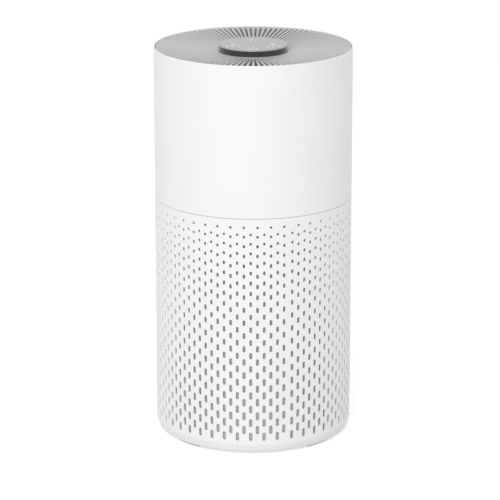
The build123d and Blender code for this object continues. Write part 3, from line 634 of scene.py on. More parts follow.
# %% Rows of the perforation
STAGGER = 7.17
UPPER_ROWS = 8
UPPER_PITCH = 9.5
UPPER_GROWTH = 0.25
LOWER_ROWS = 10
LOWER_PITCH = 13.2
LOWER_GROWTH = 0.16
ROWS = UPPER_ROWS + LOWER_ROWS
FIRST_ROW = 237.6
SLOT_WIDTH = 2.5
WIDTH_GROWTH = 1.0
SLOT_HEIGHT = 2.7
HEIGHT_GROWTH = 6.2

row_heights = [FIRST_ROW]
for step in range(UPPER_ROWS - 1):
    row_heights.append(row_heights[-1] - UPPER_PITCH - UPPER_GROWTH * step)
for step in range(LOWER_ROWS):
    row_heights.append(row_heights[-1] - LOWER_PITCH - LOWER_GROWTH * step)
slot_widths = []
slot_heights = []
for row in range(ROWS):
    lower_share = max(0.0, (row - UPPER_ROWS + 1) / LOWER_ROWS)
    slot_widths.append(SLOT_WIDTH + WIDTH_GROWTH * lower_share)
    slot_heights.append(SLOT_HEIGHT + HEIGHT_GROWTH * row / (ROWS - 1))


def cell_borders(drop):
    """Heights where the cells of a column meet: the band's ends, and midway between the slots."""
    borders = [BAND_TOP]
    for row in range(ROWS - 1):
        slot_low = row_heights[row] - slot_heights[row] / 2
        next_top = row_heights[row + 1] + slot_heights[row + 1] / 2
        borders.append((slot_low + next_top) / 2 - drop)
    return borders + [BAND_LOW]


print("Slots in all:", PANELS * COLUMNS * ROWS)

# %% Model one slot in its cell, flat
HAIR = 0.01


def slot_cell(column, center, width, height, top, low, side):
    """One slot in its cell, in the plane of x and y; side is the height of the side points."""
    here = (0, center * MM, 0)
    bpy.ops.mesh.select_mode(type="VERT")
    bpy.ops.mesh.select_all(action="DESELECT")
    bpy.ops.mesh.primitive_plane_add(size=1, location=here)
    bpy.ops.transform.resize(value=(width * MM, height * MM, 1), center_override=here)
    bpy.ops.mesh.bevel(offset=width / 2 * MM, segments=3, affect="VERTICES")
    bpy.ops.mesh.remove_doubles(threshold=HAIR * MM)
    bpy.ops.mesh.delete(type="ONLY_FACE")

    def on_slot(point):
        beside = abs(point.x) < (width / 2 + HAIR) * MM
        return beside and abs(point.y - center * MM) < (height / 2 + HAIR) * MM

    pick(column, "EDGE", lambda point: on_slot(point) and near(abs(point.x), width / 2, HAIR))
    bpy.ops.mesh.subdivide(number_cuts=1)
    pick(column, "EDGE", on_slot)
    bpy.ops.mesh.extrude_edges_move()
    straight = (height - width) / 2
    mesh = bmesh.from_edit_mesh(column.data)
    for point in mesh.verts:
        if not point.select:
            continue
        x = point.co.x / MM
        rise = point.co.y / MM - center
        if abs(rise) > straight - 2 * HAIR:
            turn = math.degrees(math.atan2(max(0.0, abs(rise) - straight), x))
            point.co.x = half_cell * (1 - turn / 90) * MM
            point.co.y = (top if rise > 0 else low) * MM
        else:
            point.co.x = math.copysign(half_cell, x) * MM
            point.co.y = side * MM
    bmesh.update_edit_mesh(column.data)


# %% Give a strip its wall and bend it round the axis
WALL = SHELL_R - BAND_R
STRIP_MERGE = 0.004


def wrap(strip):
    """Bend a flat strip round the axis, about the +X direction."""
    for point in strip.data.vertices:
        turn = point.co.x / (SHELL_R * MM)
        radius = SHELL_R * MM + point.co.z
        point.co = (radius * math.cos(turn), radius * math.sin(turn), point.co.y)


def thicken(strip, half_width):
    """Give a flat strip its wall, open it where it meets its neighbours, and bend it."""
    close_mesh(STRIP_MERGE)
    mesh = bmesh.from_edit_mesh(strip.data)
    mesh.faces.ensure_lookup_table()
    if mesh.faces[0].normal.z < 0:
        bpy.ops.mesh.flip_normals()
    apply_modifier(strip, "SOLIDIFY", thickness=WALL * MM, offset=-1.0, use_rim=True)
    bpy.ops.object.mode_set(mode="EDIT")
    for axis, border in ((0, half_width), (0, -half_width), (1, BAND_TOP), (1, BAND_LOW)):
        pick(strip, "FACE", lambda point: near(point[axis], border))
        bpy.ops.mesh.delete(type="ONLY_FACE")
    bpy.ops.object.mode_set(mode="OBJECT")
    wrap(strip)


# %% Model two kinds of column, and the plain filler between two panels
BORDER_ROOM = 0.1


def slot_column(name, drop, other_drop):
    """A whole column; the neighbours' borders give the height of its side points."""
    column = one_point(name, (0, 0, 0))
    bpy.ops.mesh.delete(type="VERT")
    borders = cell_borders(drop)
    others = cell_borders(other_drop)
    for row in range(ROWS):
        top, low = borders[row], borders[row + 1]
        between = [height for height in others if low + BORDER_ROOM < height < top - BORDER_ROOM]
        side = between[0] if between else (top if row == 0 else low)
        center = row_heights[row] - drop
        slot_cell(column, center, slot_widths[row], slot_heights[row], top, low, side)
    thicken(column, half_cell)
    return column


def filler_strip():
    """A strip with points at every border height of both kinds of column."""
    strip = one_point("slot_filler", (-half_filler, BAND_LOW, 0))
    across = (2 * half_filler * MM, 0, 0)
    bpy.ops.mesh.extrude_vertices_move(TRANSFORM_OT_translate={"value": across})
    bpy.ops.mesh.select_mode(type="EDGE")
    bpy.ops.mesh.select_all(action="SELECT")
    heights = sorted(set(cell_borders(0.0) + cell_borders(STAGGER)))
    for below, above in zip(heights, heights[1:]):
        rise = (0, (above - below) * MM, 0)
        bpy.ops.mesh.extrude_edges_move(TRANSFORM_OT_translate={"value": rise})
    thicken(strip, half_filler)
    return strip


strips = [
    slot_column("slot_column_a", 0.0, STAGGER),
    slot_column("slot_column_b", STAGGER, 0.0),
    filler_strip(),
]
print("Points in the strips:", [len(strip.data.vertices) for strip in strips])

# %% Copy the strips round the axis and join them
COLUMN_MERGE = 0.02


def join(pieces):
    """Make one object of several; the first keeps its name."""
    make_active(pieces[0])
    for piece in pieces[1:]:
        piece.select_set(True)
    bpy.ops.object.join()
    return pieces[0]


def turned_copies(piece, angles):
    """Copies of a piece about the axis, each with its own mesh, joined in place of the first."""
    copies = []
    for angle in angles:
        copy = piece.copy()
        copy.data = piece.data.copy()
        copy.data.transform(Matrix.Rotation(math.radians(angle), 4, "Z"))
        bpy.context.scene.collection.objects.link(copy)
        copies.append(copy)
    name = piece.name
    bpy.data.objects.remove(piece)
    ring = join(copies)
    rename(ring, name)
    return ring


strip_angles = ([], [], [])
for number in range(PANELS * COLUMNS):
    panel, column = divmod(number, COLUMNS)
    angle = FIRST_ANGLE + panel * 360 / PANELS + column * PITCH_ANGLE
    strip_angles[number % 2].append(angle)
    if column == COLUMNS - 1:
        strip_angles[2].append(angle + PITCH_ANGLE / 2 + FILLER_ANGLE / 2)
lower_shell = join([turned_copies(strip, angles) for strip, angles in zip(strips, strip_angles)])
rename(lower_shell, "lower_shell_skin")
bpy.ops.object.mode_set(mode="EDIT")
bpy.ops.mesh.select_all(action="SELECT")
bpy.ops.mesh.remove_doubles(threshold=COLUMN_MERGE * MM)
print("Faces of the slotted wall:", len(bmesh.from_edit_mesh(lower_shell.data).faces))

# %% [markdown]
# The band of slots still needs its base and its top. Both grow from the open rings of points at the
# band's ends: each ring is extruded and scaled about the axis, step by step, along the section of
# the shell, and the last one is bridged to the inner wall. The base runs in on a short taper. Its
# corners are soft, and a curve of a few stations at each gives that without a bevel.

# %% Grow rings along a section
RING_ROOM = 0.05


def radius_of(point):
    """Distance of a point from the axis of the cylinder."""
    return math.hypot(point.x, point.y)


def pick_rings(piece, *rings):
    """Select only the edges on some rings of points, each given as (radius, height)."""
    def on_ring(point):
        return any(
            near(point.z, height, HAIR) and near(radius_of(point), radius, RING_ROOM)
            for radius, height in rings
        )
    pick(piece, "EDGE", on_ring)


def grow_ring(piece, path, inner_ring):
    """Extrude a ring through (radius, height) stations and bridge the last one to an inner ring."""
    pick_rings(piece, path[0])
    for (radius, height), (to_radius, to_height) in zip(path, path[1:]):
        rise = (0, 0, (to_height - height) * MM)
        bpy.ops.mesh.extrude_edges_move(TRANSFORM_OT_translate={"value": rise})
        share = to_radius / radius
        bpy.ops.transform.resize(value=(share, share, 1), center_override=(0, 0, 0))
    pick_rings(piece, path[-1], inner_ring)
    bpy.ops.mesh.bridge_edge_loops()


def soft_corner(before, corner, after, reach, steps=4):
    """Stations of a short curve that rounds a corner; reach is how far it starts from the corner."""
    def towards(end):
        away = [end[axis] - corner[axis] for axis in (0, 1)]
        share = reach / math.hypot(*away)
        return [corner[axis] + share * away[axis] for axis in (0, 1)]
    start, stop = towards(before), towards(after)
    stations = []
    for step in range(steps + 1):
        t = step / steps
        stations.append(tuple(
            (1 - t) ** 2 * start[axis] + 2 * t * (1 - t) * corner[axis] + t ** 2 * stop[axis]
            for axis in (0, 1)
        ))
    return stations


# %% Grow the base and the top of the lower shell
BASE_LOW = 2.0
TAPER_TOP = 10.6
TAPER_R = 97.4
TAPER_LOW = 2.9
SOLE_R = 95.0
REACHES = (1.2, 1.0, 1.2)
MOUTH_R = 89.3
MOUTH_SOFT = 0.3
LIP_TOP = 5.5
INNER_LOW = 11.0
INNER_TOP = 240.2
LEDGE_R = 90.0
LEDGE_TOP = 243.2
corners = [
    (SHELL_R, BAND_LOW),
    (SHELL_R, TAPER_TOP),
    (TAPER_R, TAPER_LOW),
    (SOLE_R, BASE_LOW),
    (MOUTH_R + MOUTH_SOFT, BASE_LOW),
]
base_path = corners[:1]
for before, corner, after, reach in zip(corners, corners[1:], corners[2:], REACHES):
    base_path += soft_corner(before, corner, after, reach)
base_path += [
    corners[-1],
    (MOUTH_R, BASE_LOW + MOUTH_SOFT),
    (MOUTH_R, LIP_TOP),
    (BORE_R, LIP_TOP),
    (BORE_R, INNER_LOW),
]
grow_ring(lower_shell, base_path, (BAND_R, BAND_LOW))
top_path = [
    (SHELL_R, BAND_TOP),
    (SHELL_R, SEAM_LOW - SEAM_SOFT),
    (SHELL_R - SEAM_SOFT, SEAM_LOW),
    (BORE_R, SEAM_LOW),
    (BORE_R, LEDGE_TOP),
    (LEDGE_R, LEDGE_TOP),
    (LEDGE_R, INNER_TOP),
    (BORE_R, INNER_TOP),
]
grow_ring(lower_shell, top_path, (BAND_R, BAND_TOP))
bpy.ops.mesh.select_all(action="SELECT")
bpy.ops.mesh.normals_make_consistent(inside=False)
mesh = bmesh.from_edit_mesh(lower_shell.data)
print("Open edges of the lower shell:", sum(1 for edge in mesh.edges if not edge.is_manifold))
fit(lower_shell, "housing", "white_shell", "lower_shell", smooth=40)

# %% [markdown]
# ## Outlet grille
# A dished ring of about a hundred radial fins between an outer ring and a hub. The fins taper towards
# the middle and have softened top edges. One fin is shaped from a cube and copied round the axis; the
# rings are turned. The outer ring lies a little below the fin tops, so the slots seem to run out to
# the rim. Cutting slots from a solid dish would give the same plan, but no soft edges.

# %% Shape one fin and copy it round
FIN_COUNT = 104
SLOT_ANGLE = 1.8
FIN_ANGLE = 360 / FIN_COUNT - SLOT_ANGLE
FIN_IN_R = 36.7
FIN_OUT_R = 98.0
FIN_SINK = 0.3
FIN_CUTS = 11
FIN_DEPTH = 2.2
FIN_ROUND = 0.4
LONG_EDGE = 1.0
GRILLE_TOP = 399.6
DISH_LOW = 395.0


def dish_height(radius):
    """Height of the dish at a radius: level at both ends, with a soft bend between."""
    share = (radius - FIN_IN_R) / (FIN_OUT_R - FIN_IN_R)
    share = min(1.0, max(0.0, share))
    return DISH_LOW + (GRILLE_TOP - DISH_LOW) * share * share * (3 - 2 * share)


clear_selection()
bpy.ops.mesh.primitive_cube_add(size=1)
fin = begin("outlet_grille_fins")
pick_along(fin, 0, 0.5)
bpy.ops.mesh.subdivide(number_cuts=FIN_CUTS)
mesh = bmesh.from_edit_mesh(fin.data)
for point in mesh.verts:
    radius = FIN_IN_R - FIN_SINK + (point.co.x + 0.5) * (FIN_OUT_R - FIN_IN_R + FIN_SINK)
    drop = 0.0 if point.co.z > 0 else FIN_DEPTH
    half = math.copysign(radius * math.tan(math.radians(FIN_ANGLE / 2)), point.co.y)
    point.co = (radius * MM, half * MM, (dish_height(radius) - drop) * MM)
bmesh.update_edit_mesh(fin.data)
pick_along(fin, 0, LONG_EDGE * MM)
mesh = bmesh.from_edit_mesh(fin.data)
for edge in mesh.edges:
    point = edge.verts[0].co
    if point.z < (dish_height(radius_of(point) / MM) - FIN_DEPTH / 2) * MM:
        edge.select_set(False)
bmesh.update_edit_mesh(fin.data)
bpy.ops.mesh.bevel(offset=FIN_ROUND * MM, segments=3, affect="EDGES")
bpy.ops.mesh.select_all(action="SELECT")
bpy.ops.mesh.normals_make_consistent(inside=False)
bpy.ops.object.mode_set(mode="OBJECT")
print("Faces of one fin:", len(fin.data.polygons))
fins = turned_copies(fin, [index * 360 / FIN_COUNT + FRONT for index in range(FIN_COUNT)])

# %% Turn the rings of the grille
GRILLE_R = 98.15
RING_R = 97.0
RING_TOP = 399.1
RING_FOOT_R = 94.5
RING_FOOT_TOP = 393.5
RING_ROUND = (0.3, 2)
HUB_SEAT_R = 34.9
HUB_HOLE_R = 6.0
DISC_STEPS = 128
outer_ring = turned(
    "grille_outer_ring",
    [
        (RING_FOOT_R, RIM_SEAT),
        (GRILLE_R, RIM_SEAT),
        (GRILLE_R, RING_TOP, RING_ROUND),
        (RING_R, RING_TOP, RING_ROUND),
        (RING_R, RING_FOOT_TOP),
        (RING_FOOT_R, RING_FOOT_TOP, RING_ROUND),
    ],
)
hub_ring = turned(
    "grille_hub_ring",
    [
        (HUB_HOLE_R, RIM_LEDGE_LOW),
        (FIN_IN_R, RIM_LEDGE_LOW),
        (FIN_IN_R, DISH_LOW, RING_ROUND),
        (HUB_SEAT_R, DISH_LOW, RING_ROUND),
        (HUB_SEAT_R, RIM_SEAT),
        (HUB_HOLE_R, RIM_SEAT),
    ],
    steps=DISC_STEPS,
)
grille = join([fins, outer_ring, hub_ring])
fit(grille, "housing", "grille_grey", "outlet_grille", smooth=40)

# %% [markdown]
# ## Control disc
# A round touch panel stands in the middle of the dish: a dark cup and a smooth grey top with a soft
# edge. The symbols are printed in the real thing. Here they are thin inlays, a few hundredths of a
# millimetre proud, so that they stay sharp in a close view.

# %% Turn the cup and the top
DISC_R = 34.7
DISC_TOP = 401.8
CUP_IN_R = 32.7
CUP_FLOOR = 393.0
CUP_ROUND = (0.5, 3)
LENS_LOW = 400.6
LENS_ROUND = (0.8, 5)
INLAY = 0.04
INLAY_SINK = 0.02
control_cup = turned(
    "control_cup",
    [
        (HUB_HOLE_R, RIM_SEAT),
        (DISC_R, RIM_SEAT, CUP_ROUND),
        (DISC_R, LENS_LOW),
        (CUP_IN_R, LENS_LOW),
        (CUP_IN_R, CUP_FLOOR),
        (HUB_HOLE_R, CUP_FLOOR),
    ],
    steps=DISC_STEPS,
)
fit(control_cup, "housing", "panel_dark", "control_base")
control_top = turned(
    "control_top",
    [
        (0.0, LENS_LOW),
        (DISC_R, LENS_LOW),
        (DISC_R, DISC_TOP - INLAY, LENS_ROUND),
        (0.0, DISC_TOP - INLAY),
    ],
    steps=DISC_STEPS,
)
fit(control_top, "housing", "panel_grey", "control_lens")

# %% Flat rings and bars
BAR_END = 0.49


def put_down(sheet, x, y, z=0.0, turn=0.0):
    """Leave edit mode, turn a flat shape by degrees about the origin and move it to its place."""
    bpy.ops.object.mode_set(mode="OBJECT")
    sheet.data.transform(Matrix.Rotation(math.radians(turn), 4, "Z"))
    sheet.data.transform(Matrix.Translation((x * MM, y * MM, z * MM)))
    return sheet


def flat_ring(name, x, y, outer, inner=0.0, gap_at=None, gap=0.0, steps=48):
    """A flat disc or ring, open over an angle if a gap is given; angles in degrees."""
    clear_selection()
    bpy.ops.mesh.primitive_circle_add(vertices=steps, radius=outer * MM)
    ring = begin(name)
    if inner > 0:
        bpy.ops.mesh.extrude_edges_move()
        share = inner / outer
        bpy.ops.transform.resize(value=(share, share, 1), center_override=(0, 0, 0))
    else:
        bpy.ops.mesh.edge_face_add()
    if gap_at is not None:
        def in_gap(point):
            turn = math.degrees(math.atan2(point.y, point.x)) - gap_at
            return abs((turn + 180) % 360 - 180) < gap / 2
        pick(ring, "FACE", in_gap)
        bpy.ops.mesh.delete(type="FACE")
    return put_down(ring, x, y)


def flat_bar(name, x, y, width, height):
    """A flat bar with round ends."""
    clear_selection()
    bpy.ops.mesh.primitive_plane_add(size=1)
    bar = begin(name)
    bpy.ops.transform.resize(value=(width * MM, height * MM, 1), center_override=(0, 0, 0))
    bpy.ops.mesh.bevel(offset=min(width, height) * BAR_END * MM, segments=4, affect="VERTICES")
    return put_down(bar, x, y)


def flat_disc(name, radius, points):
    """A flat filled circle about the origin, left in edit mode to be shaped."""
    clear_selection()
    bpy.ops.mesh.primitive_circle_add(vertices=points, radius=radius * MM, fill_type="NGON")
    return begin(name)


# %% Flat petals and moons
SMALL_POINTS = 24
MOON_POINTS = 64
PETAL_WIDTH = 0.68
PETAL_LEAN = 0.35
PETAL_OUT = 1.45


def blade(name, x, y, size, turn):
    """One petal of the fan symbol: a narrowed disc, moved out from the hub and turned."""
    petal = flat_disc(name, size, SMALL_POINTS)
    bpy.ops.transform.resize(value=(PETAL_WIDTH, 1.0, 1), center_override=(0, 0, 0))
    bpy.ops.transform.translate(value=(PETAL_LEAN * size * MM, PETAL_OUT * size * MM, 0))
    return put_down(petal, x, y, turn=turn)


def crescent(name, x, y, outer, bite, shift):
    """A moon: a circle whose one side is pressed in by a second circle."""
    moon = flat_disc(name, outer, MOON_POINTS)
    mesh = bmesh.from_edit_mesh(moon.data)
    for point in mesh.verts:
        dx, dy = point.co.x / MM - shift, point.co.y / MM - shift
        if math.hypot(dx, dy) < bite:
            reach = math.sqrt(max(0.0, bite**2 - ((dx - dy) ** 2) / 2))
            middle = (dx - dy) / 2
            point.co.x = (shift + middle - reach / math.sqrt(2)) * MM
            point.co.y = (shift - middle - reach / math.sqrt(2)) * MM
    bmesh.update_edit_mesh(moon.data)
    return put_down(moon, x, y)


def give_depth(sheet, low, top):
    """Turn flat shapes at height zero into closed inlays between two heights."""
    sheet.data.transform(Matrix.Translation((0, 0, (low + top) / 2 * MM)))
    apply_modifier(sheet, "SOLIDIFY", thickness=(top - low) * MM, offset=0.0)
    bpy.ops.object.mode_set(mode="EDIT")
    close_mesh()
    bpy.ops.object.mode_set(mode="OBJECT")


# %% Inlaid symbols: power, fan speed with three steps, night with three steps
LEFT = -19.9
RIGHT = 20.4
POWER_Y = -25.5
POWER_R = 5.0
POWER_IN_R = 4.2
POWER_GAP = 70
BAR_Y = -21.4
BAR_WIDTH = 1.5
BAR_HEIGHT = 6.2
READY_X = -1.8
READY_Y = 21.5
READY_R = 1.1
FAN_Y = -4.2
FAN_HUB_R = 0.6
PETAL_R = 1.4
MOON_X = 20.8
MOON_Y = -2.2
MOON_R = 3.4
MOON_BITE = 2.8
MOON_SHIFT = 1.6
DOT_Y = -14.0
DOT_R = 1.4
DOT_STEP = 6.1
symbols = [
    flat_ring("power_arc", 0, POWER_Y, POWER_R, POWER_IN_R, gap_at=90, gap=POWER_GAP),
    flat_bar("power_bar", 0, BAR_Y, BAR_WIDTH, BAR_HEIGHT),
    flat_ring("ready_mark", READY_X, READY_Y, READY_R),
    flat_ring("fan_hub", LEFT, FAN_Y, FAN_HUB_R, steps=SMALL_POINTS),
    crescent("night_moon", MOON_X, MOON_Y, MOON_R, MOON_BITE, MOON_SHIFT),
]
for turn in (0, 120, 240):
    symbols.append(blade("fan_blade", LEFT, FAN_Y, PETAL_R, turn))
for middle in (LEFT, RIGHT):
    for shift in (-DOT_STEP, 0.0, DOT_STEP):
        symbols.append(flat_ring("step_dot", middle + shift, DOT_Y, DOT_R, steps=SMALL_POINTS))
panel_symbols = join(symbols)
panel_symbols.name = "panel_symbols"
give_depth(panel_symbols, DISC_TOP - INLAY - INLAY_SINK, DISC_TOP)
fit(panel_symbols, "housing", "panel_grey")
ink = moulded("symbol_ink", grey(0.93), (0.3, 0.36), drift=0.98)
panel_symbols.data.materials.clear()
panel_symbols.data.materials.append(ink)

# %% [markdown]
# ## Base
# A flat cover closes the base. A bar in a sunk grip turns it, and four tabs on its upstand lock it. The
# disc is turned like the shells. Bar, tabs and feet are cubes with bevelled edges; the arched ones are
# bent round the axis point by point, because Blender's own Bend needs a window.

# %% Rubber feet, bent round the axis
BEND_CUTS = 8
QUARTERS = (0, 90, 180, 270)
FOOT_IN_R = 89.8
FOOT_OUT_R = 93.4
FOOT_ANGLE = 9.0
FOOT_SOFT = 0.5
FOOT_TURN = 45


def bent_block(name, inner, outer, low, top, half_angle, soft):
    """A soft block between two radii and two heights, bent about the +X direction."""
    length = 2 * SHELL_R * math.radians(half_angle)
    place = (0, (low + top) / 2, (inner + outer) / 2 - SHELL_R)
    block = soft_block(name, (length, top - low, outer - inner), place, soft)
    bpy.ops.object.mode_set(mode="EDIT")
    pick_along(block, 0, length * MM / 2)
    bpy.ops.mesh.subdivide(number_cuts=BEND_CUTS)
    bpy.ops.object.mode_set(mode="OBJECT")
    wrap(block)
    return block


foot = bent_block("rubber_feet_soft", FOOT_IN_R, FOOT_OUT_R, 0.0, BASE_LOW, FOOT_ANGLE, FOOT_SOFT)
feet = turned_copies(foot, [quarter + FOOT_TURN for quarter in QUARTERS])
fit(feet, "housing", "rubber", "rubber_feet")

# %% Twist-off cover with its grip and tabs
COVER_R = 88.8
COVER_TOP = 5.5
COVER_ROUND = (0.8, 3)
UPSTAND_R = 85.5
UPSTAND_IN_R = 83.0
UPSTAND_ROUND = (0.4, 2)
TAB_IN_R = 84.25
TAB_R = 88.5
TAB_LOW = 9.3
TAB_TOP = 12.3
TAB_ANGLE = 7.0
TAB_SOFT = 0.4
GRIP_R = 45.0
GRIP_TOP = 12.0
GRIP_WALL = 2.0
GRIP_ROUND = (2.5, 5)
GRIP_EDGE_ROUND = (1.2, 4)
GRIP_BACK_ROUND = (0.6, 2)
GRIP_BAR = 14.0
BAR_SOFT = 1.0
cover = turned(
    "bottom_cover_skin",
    [
        (0.0, GRIP_TOP),
        (GRIP_R, GRIP_TOP, GRIP_ROUND),
        (GRIP_R, BASE_LOW, GRIP_EDGE_ROUND),
        (COVER_R, BASE_LOW, COVER_ROUND),
        (COVER_R, COVER_TOP),
        (UPSTAND_R, COVER_TOP),
        (UPSTAND_R, TAB_TOP, UPSTAND_ROUND),
        (UPSTAND_IN_R, TAB_TOP, UPSTAND_ROUND),
        (UPSTAND_IN_R, COVER_TOP),
        (GRIP_R + GRIP_WALL, COVER_TOP),
        (GRIP_R + GRIP_WALL, GRIP_TOP + GRIP_WALL, GRIP_BACK_ROUND),
        (0.0, GRIP_TOP + GRIP_WALL),
    ],
)
bar_length = 2 * math.sqrt(GRIP_R**2 - (GRIP_BAR / 2) ** 2) + GRIP_WALL
bar_size = (GRIP_BAR, bar_length, COVER_TOP - BASE_LOW)
grip_bar = soft_block("grip_bar", bar_size, (0, 0, (BASE_LOW + COVER_TOP) / 2), BAR_SOFT)
tab = bent_block("cover_tabs", TAB_IN_R, TAB_R, TAB_LOW, TAB_TOP, TAB_ANGLE, TAB_SOFT)
tabs = turned_copies(tab, QUARTERS)
print("Grip bar is", round(bar_length, 1), "mm long")

# %% Raised turning marks on the cover
MARK_R = 68.0
MARK_RISE = 0.4
MARK_SINK = 0.1
MARK_HALF = 1.3
MARK_STEPS = 180
ARC_ANGLE = 36
HEAD_SIZE = 4.5
HEAD_SOFT = 0.4
HEAD_DROP = 0.05
HEAD_PAST = 1


def arrow_head(name, x, y, size, turn):
    """A flat triangle that points along a turn from +Y, in degrees."""
    head = flat_disc(name, size, 3)
    bpy.ops.mesh.bevel(offset=HEAD_SOFT * MM, segments=2, affect="VERTICES")
    return put_down(head, x, y, -HEAD_DROP, turn)


marks = []
for side in (-90, 90):
    outer, inner = MARK_R + MARK_HALF, MARK_R - MARK_HALF
    marks.append(flat_ring("turn_arc", 0, 0, outer, inner, side + 180, 360 - ARC_ANGLE, MARK_STEPS))
    end = side + ARC_ANGLE / 2 + HEAD_PAST
    x, y = MARK_R * math.cos(math.radians(end)), MARK_R * math.sin(math.radians(end))
    marks.append(arrow_head("turn_head", x, y, HEAD_SIZE, end))
turn_marks = join(marks)
give_depth(turn_marks, BASE_LOW - MARK_RISE, BASE_LOW + MARK_SINK)
cover = join([cover, grip_bar, tabs, turn_marks])
fit(cover, "cover", "white_base", "bottom_cover")

# %% [markdown]
# ## Filter cartridge
# The filter is a drum of pleated paper between two moulded caps, with a net round it. Each pleat
# pushes the net out a little, so the wrap is turned with many steps and its outer wall is then drawn
# in between the pleats. The paper inside is a CAD part with a paper finish.

# %% Caps and scalloped wrap
FILTER_R = 82.3
WRAP_IN_R = 81.0
CORE_R = 52.0
MEDIA_LOW = 18.3
MEDIA_TOP = 209.7
CAP = 4.0
CAP_ROUND = (1.2, 4)
CAP_IN_ROUND = (1.0, 3)
CAP_STEPS = 192
PLEATS = 60
PLEAT_STEPS = 8
PLEAT_DRAW = 0.7
for name, low in (("filter_bottom_cap", MEDIA_LOW - CAP), ("filter_top_cap", MEDIA_TOP)):
    cap = turned(
        name + "_soft",
        [
            (CORE_R, low, CAP_IN_ROUND),
            (FILTER_R, low, CAP_ROUND),
            (FILTER_R, low + CAP, CAP_ROUND),
            (CORE_R, low + CAP, CAP_IN_ROUND),
        ],
        steps=CAP_STEPS,
    )
    fit(cap, "filter", "filter_cap", name)
wrap_net = turned(
    "filter_wrap_net",
    [(WRAP_IN_R, MEDIA_LOW), (FILTER_R, MEDIA_LOW), (FILTER_R, MEDIA_TOP), (WRAP_IN_R, MEDIA_TOP)],
    steps=PLEAT_STEPS * PLEATS,
)
for point in wrap_net.data.vertices:
    radius = radius_of(point.co)
    if radius > (WRAP_IN_R + FILTER_R) / 2 * MM:
        swing = math.cos(PLEATS * math.atan2(point.co.y, point.co.x))
        share = 1 - PLEAT_DRAW * MM * (1 - swing) / 2 / radius
        point.co.x *= share
        point.co.y *= share
fit(wrap_net, "filter", "filter_net", "filter_wrap", smooth=50)

# %% [markdown]
# ## Foam rings
# A foam ring on the cover presses the filter up, and a second one seals it against the fan deck. Cut
# foam has soft corners and sides that bulge a little under load. A turned section with large bevels
# gives that; a cloth simulation would not change a ring that is held flat on two faces.

# %% Turn the two foam rings
FOAM_BULGE = 0.3
PAD_IN_R = 64.7
PAD_R = 82.7
PAD_TOP = 14.0
PAD_ROUND = (1.6, 4)
SEAL_IN_R = 58.0
SEAL_R = 68.0
SEAL_LOW = 213.7
SEAL_TOP = 219.7
SEAL_ROUND = (1.4, 4)


def foam_ring(name, inner, outer, low, top, rounding):
    """A ring of foam with crowned sides and soft corners."""
    middle = (low + top) / 2
    corners = [
        (inner + FOAM_BULGE, low),
        (outer - FOAM_BULGE, low),
        (outer, middle),
        (outer - FOAM_BULGE, top),
        (inner + FOAM_BULGE, top),
        (inner, middle),
    ]
    return turned(name, [corner + (rounding,) for corner in corners], steps=DISC_STEPS)


cover_foam = foam_ring("cover_foam", PAD_IN_R, PAD_R, COVER_TOP, PAD_TOP, PAD_ROUND)
fit(cover_foam, "cover", "foam", "cover_pad", smooth=60)
seal_foam = foam_ring("seal_foam", SEAL_IN_R, SEAL_R, SEAL_LOW, SEAL_TOP, SEAL_ROUND)
fit(seal_foam, "filter", "foam", "filter_gasket", smooth=60)

# %% [markdown]
# ## Studio
# A pale floor, a large soft lamp from the front left and an even sky. The floor is white for the
# camera through Light Path, and keeps a share of plain diffuse shading, so the shadow stays. Seen
# from below it is clear, so that the base can be looked at. Lengths of the studio are in metres.

# %% Floor
FLOOR_SIZE = 24
FLOOR_CUTS = 3
GLOW_LIT = 0.15
GLOW_SEEN = 0.5
TONE_LIT = 0.58
TONE_SEEN = 1.35


def seen_or_lit(tree, lit, seen):
    """One value for rays that light the object, another for what the camera, metal and glass see."""
    path = tree.nodes.new("ShaderNodeLightPath").outputs
    looked_at = add_math(tree, "ADD", path["Is Camera Ray"], path["Is Glossy Ray"])
    looked_at = add_math(tree, "ADD", looked_at, path["Is Transmission Ray"])
    return add_range(tree, looked_at, lit, seen, 0.0, 1.0)


def mix_shaders(tree, share, first, second):
    """A Mix Shader node of two shader sockets."""
    node = tree.nodes.new("ShaderNodeMixShader")
    for socket, value in zip(node.inputs, (share, first, second)):
        tree.links.new(value, socket)
    return node.outputs[0]


clear_selection()
bpy.ops.mesh.primitive_plane_add(size=FLOOR_SIZE)
floor = begin("studio_floor")
bpy.ops.mesh.subdivide(number_cuts=FLOOR_CUTS)
bpy.ops.object.mode_set(mode="OBJECT")
floor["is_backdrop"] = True
paper = bpy.data.materials.new("studio_paper")
paper.use_nodes = True
tree = paper.node_tree
tree.nodes.clear()
diffuse = tree.nodes.new("ShaderNodeBsdfDiffuse")
tree.links.new(seen_or_lit(tree, TONE_LIT, TONE_SEEN), diffuse.inputs["Color"])
glow = tree.nodes.new("ShaderNodeEmission")
set_inputs(glow, Strength=1.0)
glow_share = seen_or_lit(tree, GLOW_LIT, GLOW_SEEN)
from_above = mix_shaders(tree, glow_share, diffuse.outputs[0], glow.outputs[0])
below = tree.nodes.new("ShaderNodeNewGeometry").outputs["Backfacing"]
clear = tree.nodes.new("ShaderNodeBsdfTransparent").outputs[0]
output = tree.nodes.new("ShaderNodeOutputMaterial")
tree.links.new(mix_shaders(tree, below, from_above, clear), output.inputs["Surface"])
floor.data.materials.append(paper)
print("Floor is", FLOOR_SIZE, "m wide")

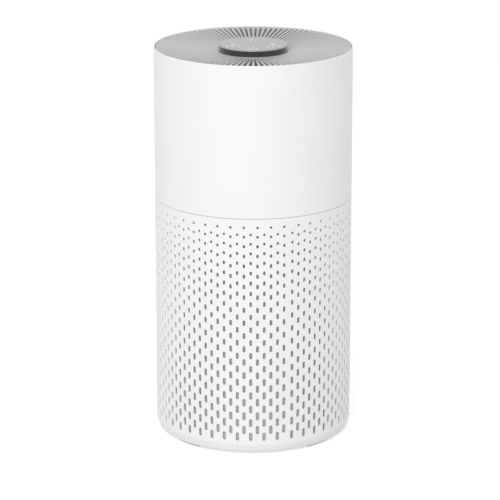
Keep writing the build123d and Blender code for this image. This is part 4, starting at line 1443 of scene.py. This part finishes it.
# %% Sky
SKY_LIT = 0.66
SKY_SEEN = 1.0
world = bpy.data.worlds.new("studio_sky")
bpy.context.scene.world = world
world.use_nodes = True
sky = world.node_tree.nodes["Background"]
set_inputs(sky, Color=(1.0, 1.0, 1.0, 1.0))
strength = seen_or_lit(world.node_tree, SKY_LIT, SKY_SEEN)
world.node_tree.links.new(strength, sky.inputs["Strength"])
print("Sky lights with a strength of", SKY_LIT)

# %% Lamps
AIM_Z = 0.2


def soft_lamp(name, azimuth, elevation, distance, size, power):
    """A large area lamp that looks at the object; azimuth runs from the front to the right."""
    turn, rise = math.radians(azimuth), math.radians(elevation)
    flat = distance * math.cos(rise)
    place = (flat * math.sin(turn), -flat * math.cos(turn), AIM_Z + distance * math.sin(rise))
    bpy.ops.object.light_add(type="AREA", location=place, rotation=(math.pi / 2 - rise, 0, turn))
    lamp = bpy.context.object
    lamp.name = name
    lamp.data.shape = "SQUARE"
    lamp.data.size = size
    lamp.data.energy = power
    print(name, "of", power, "W at", [round(value, 2) for value in place])


clear_selection()
soft_lamp("key_lamp", azimuth=-10, elevation=25, distance=4.5, size=2.2, power=98)
for azimuth in (-112, 112):
    soft_lamp("side_lamp", azimuth, elevation=14, distance=2.4, size=1.2, power=4.5)

# %% Camera
CAMERA_PLACE = (0, -2.6232, 0.9401)
CAMERA_PITCH = 16.029
CAMERA_LENS = 191.77
CAMERA_SHIFT = -0.0066
SENSOR = 36.0
tilt = (math.radians(90 - CAMERA_PITCH), 0, 0)
bpy.ops.object.camera_add(location=CAMERA_PLACE, rotation=tilt)
camera = bpy.context.object
camera.name = "photo_camera"
camera.data.sensor_width = SENSOR
camera.data.lens = CAMERA_LENS
camera.data.shift_x = CAMERA_SHIFT
bpy.context.scene.camera = camera
bpy.context.scene.view_settings.view_transform = "Standard"
print("Camera sees", round(math.degrees(camera.data.angle), 2), "degrees")

# %% [markdown]
# ## Size of the dressed object
# The box of the dressed object is printed, in millimetres. The dressed object must not
# outgrow its CAD box.

# %% Print the box of the dressed object
low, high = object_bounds()
print("Visual box in mm:", [round(side / MM, 1) for side in high - low])
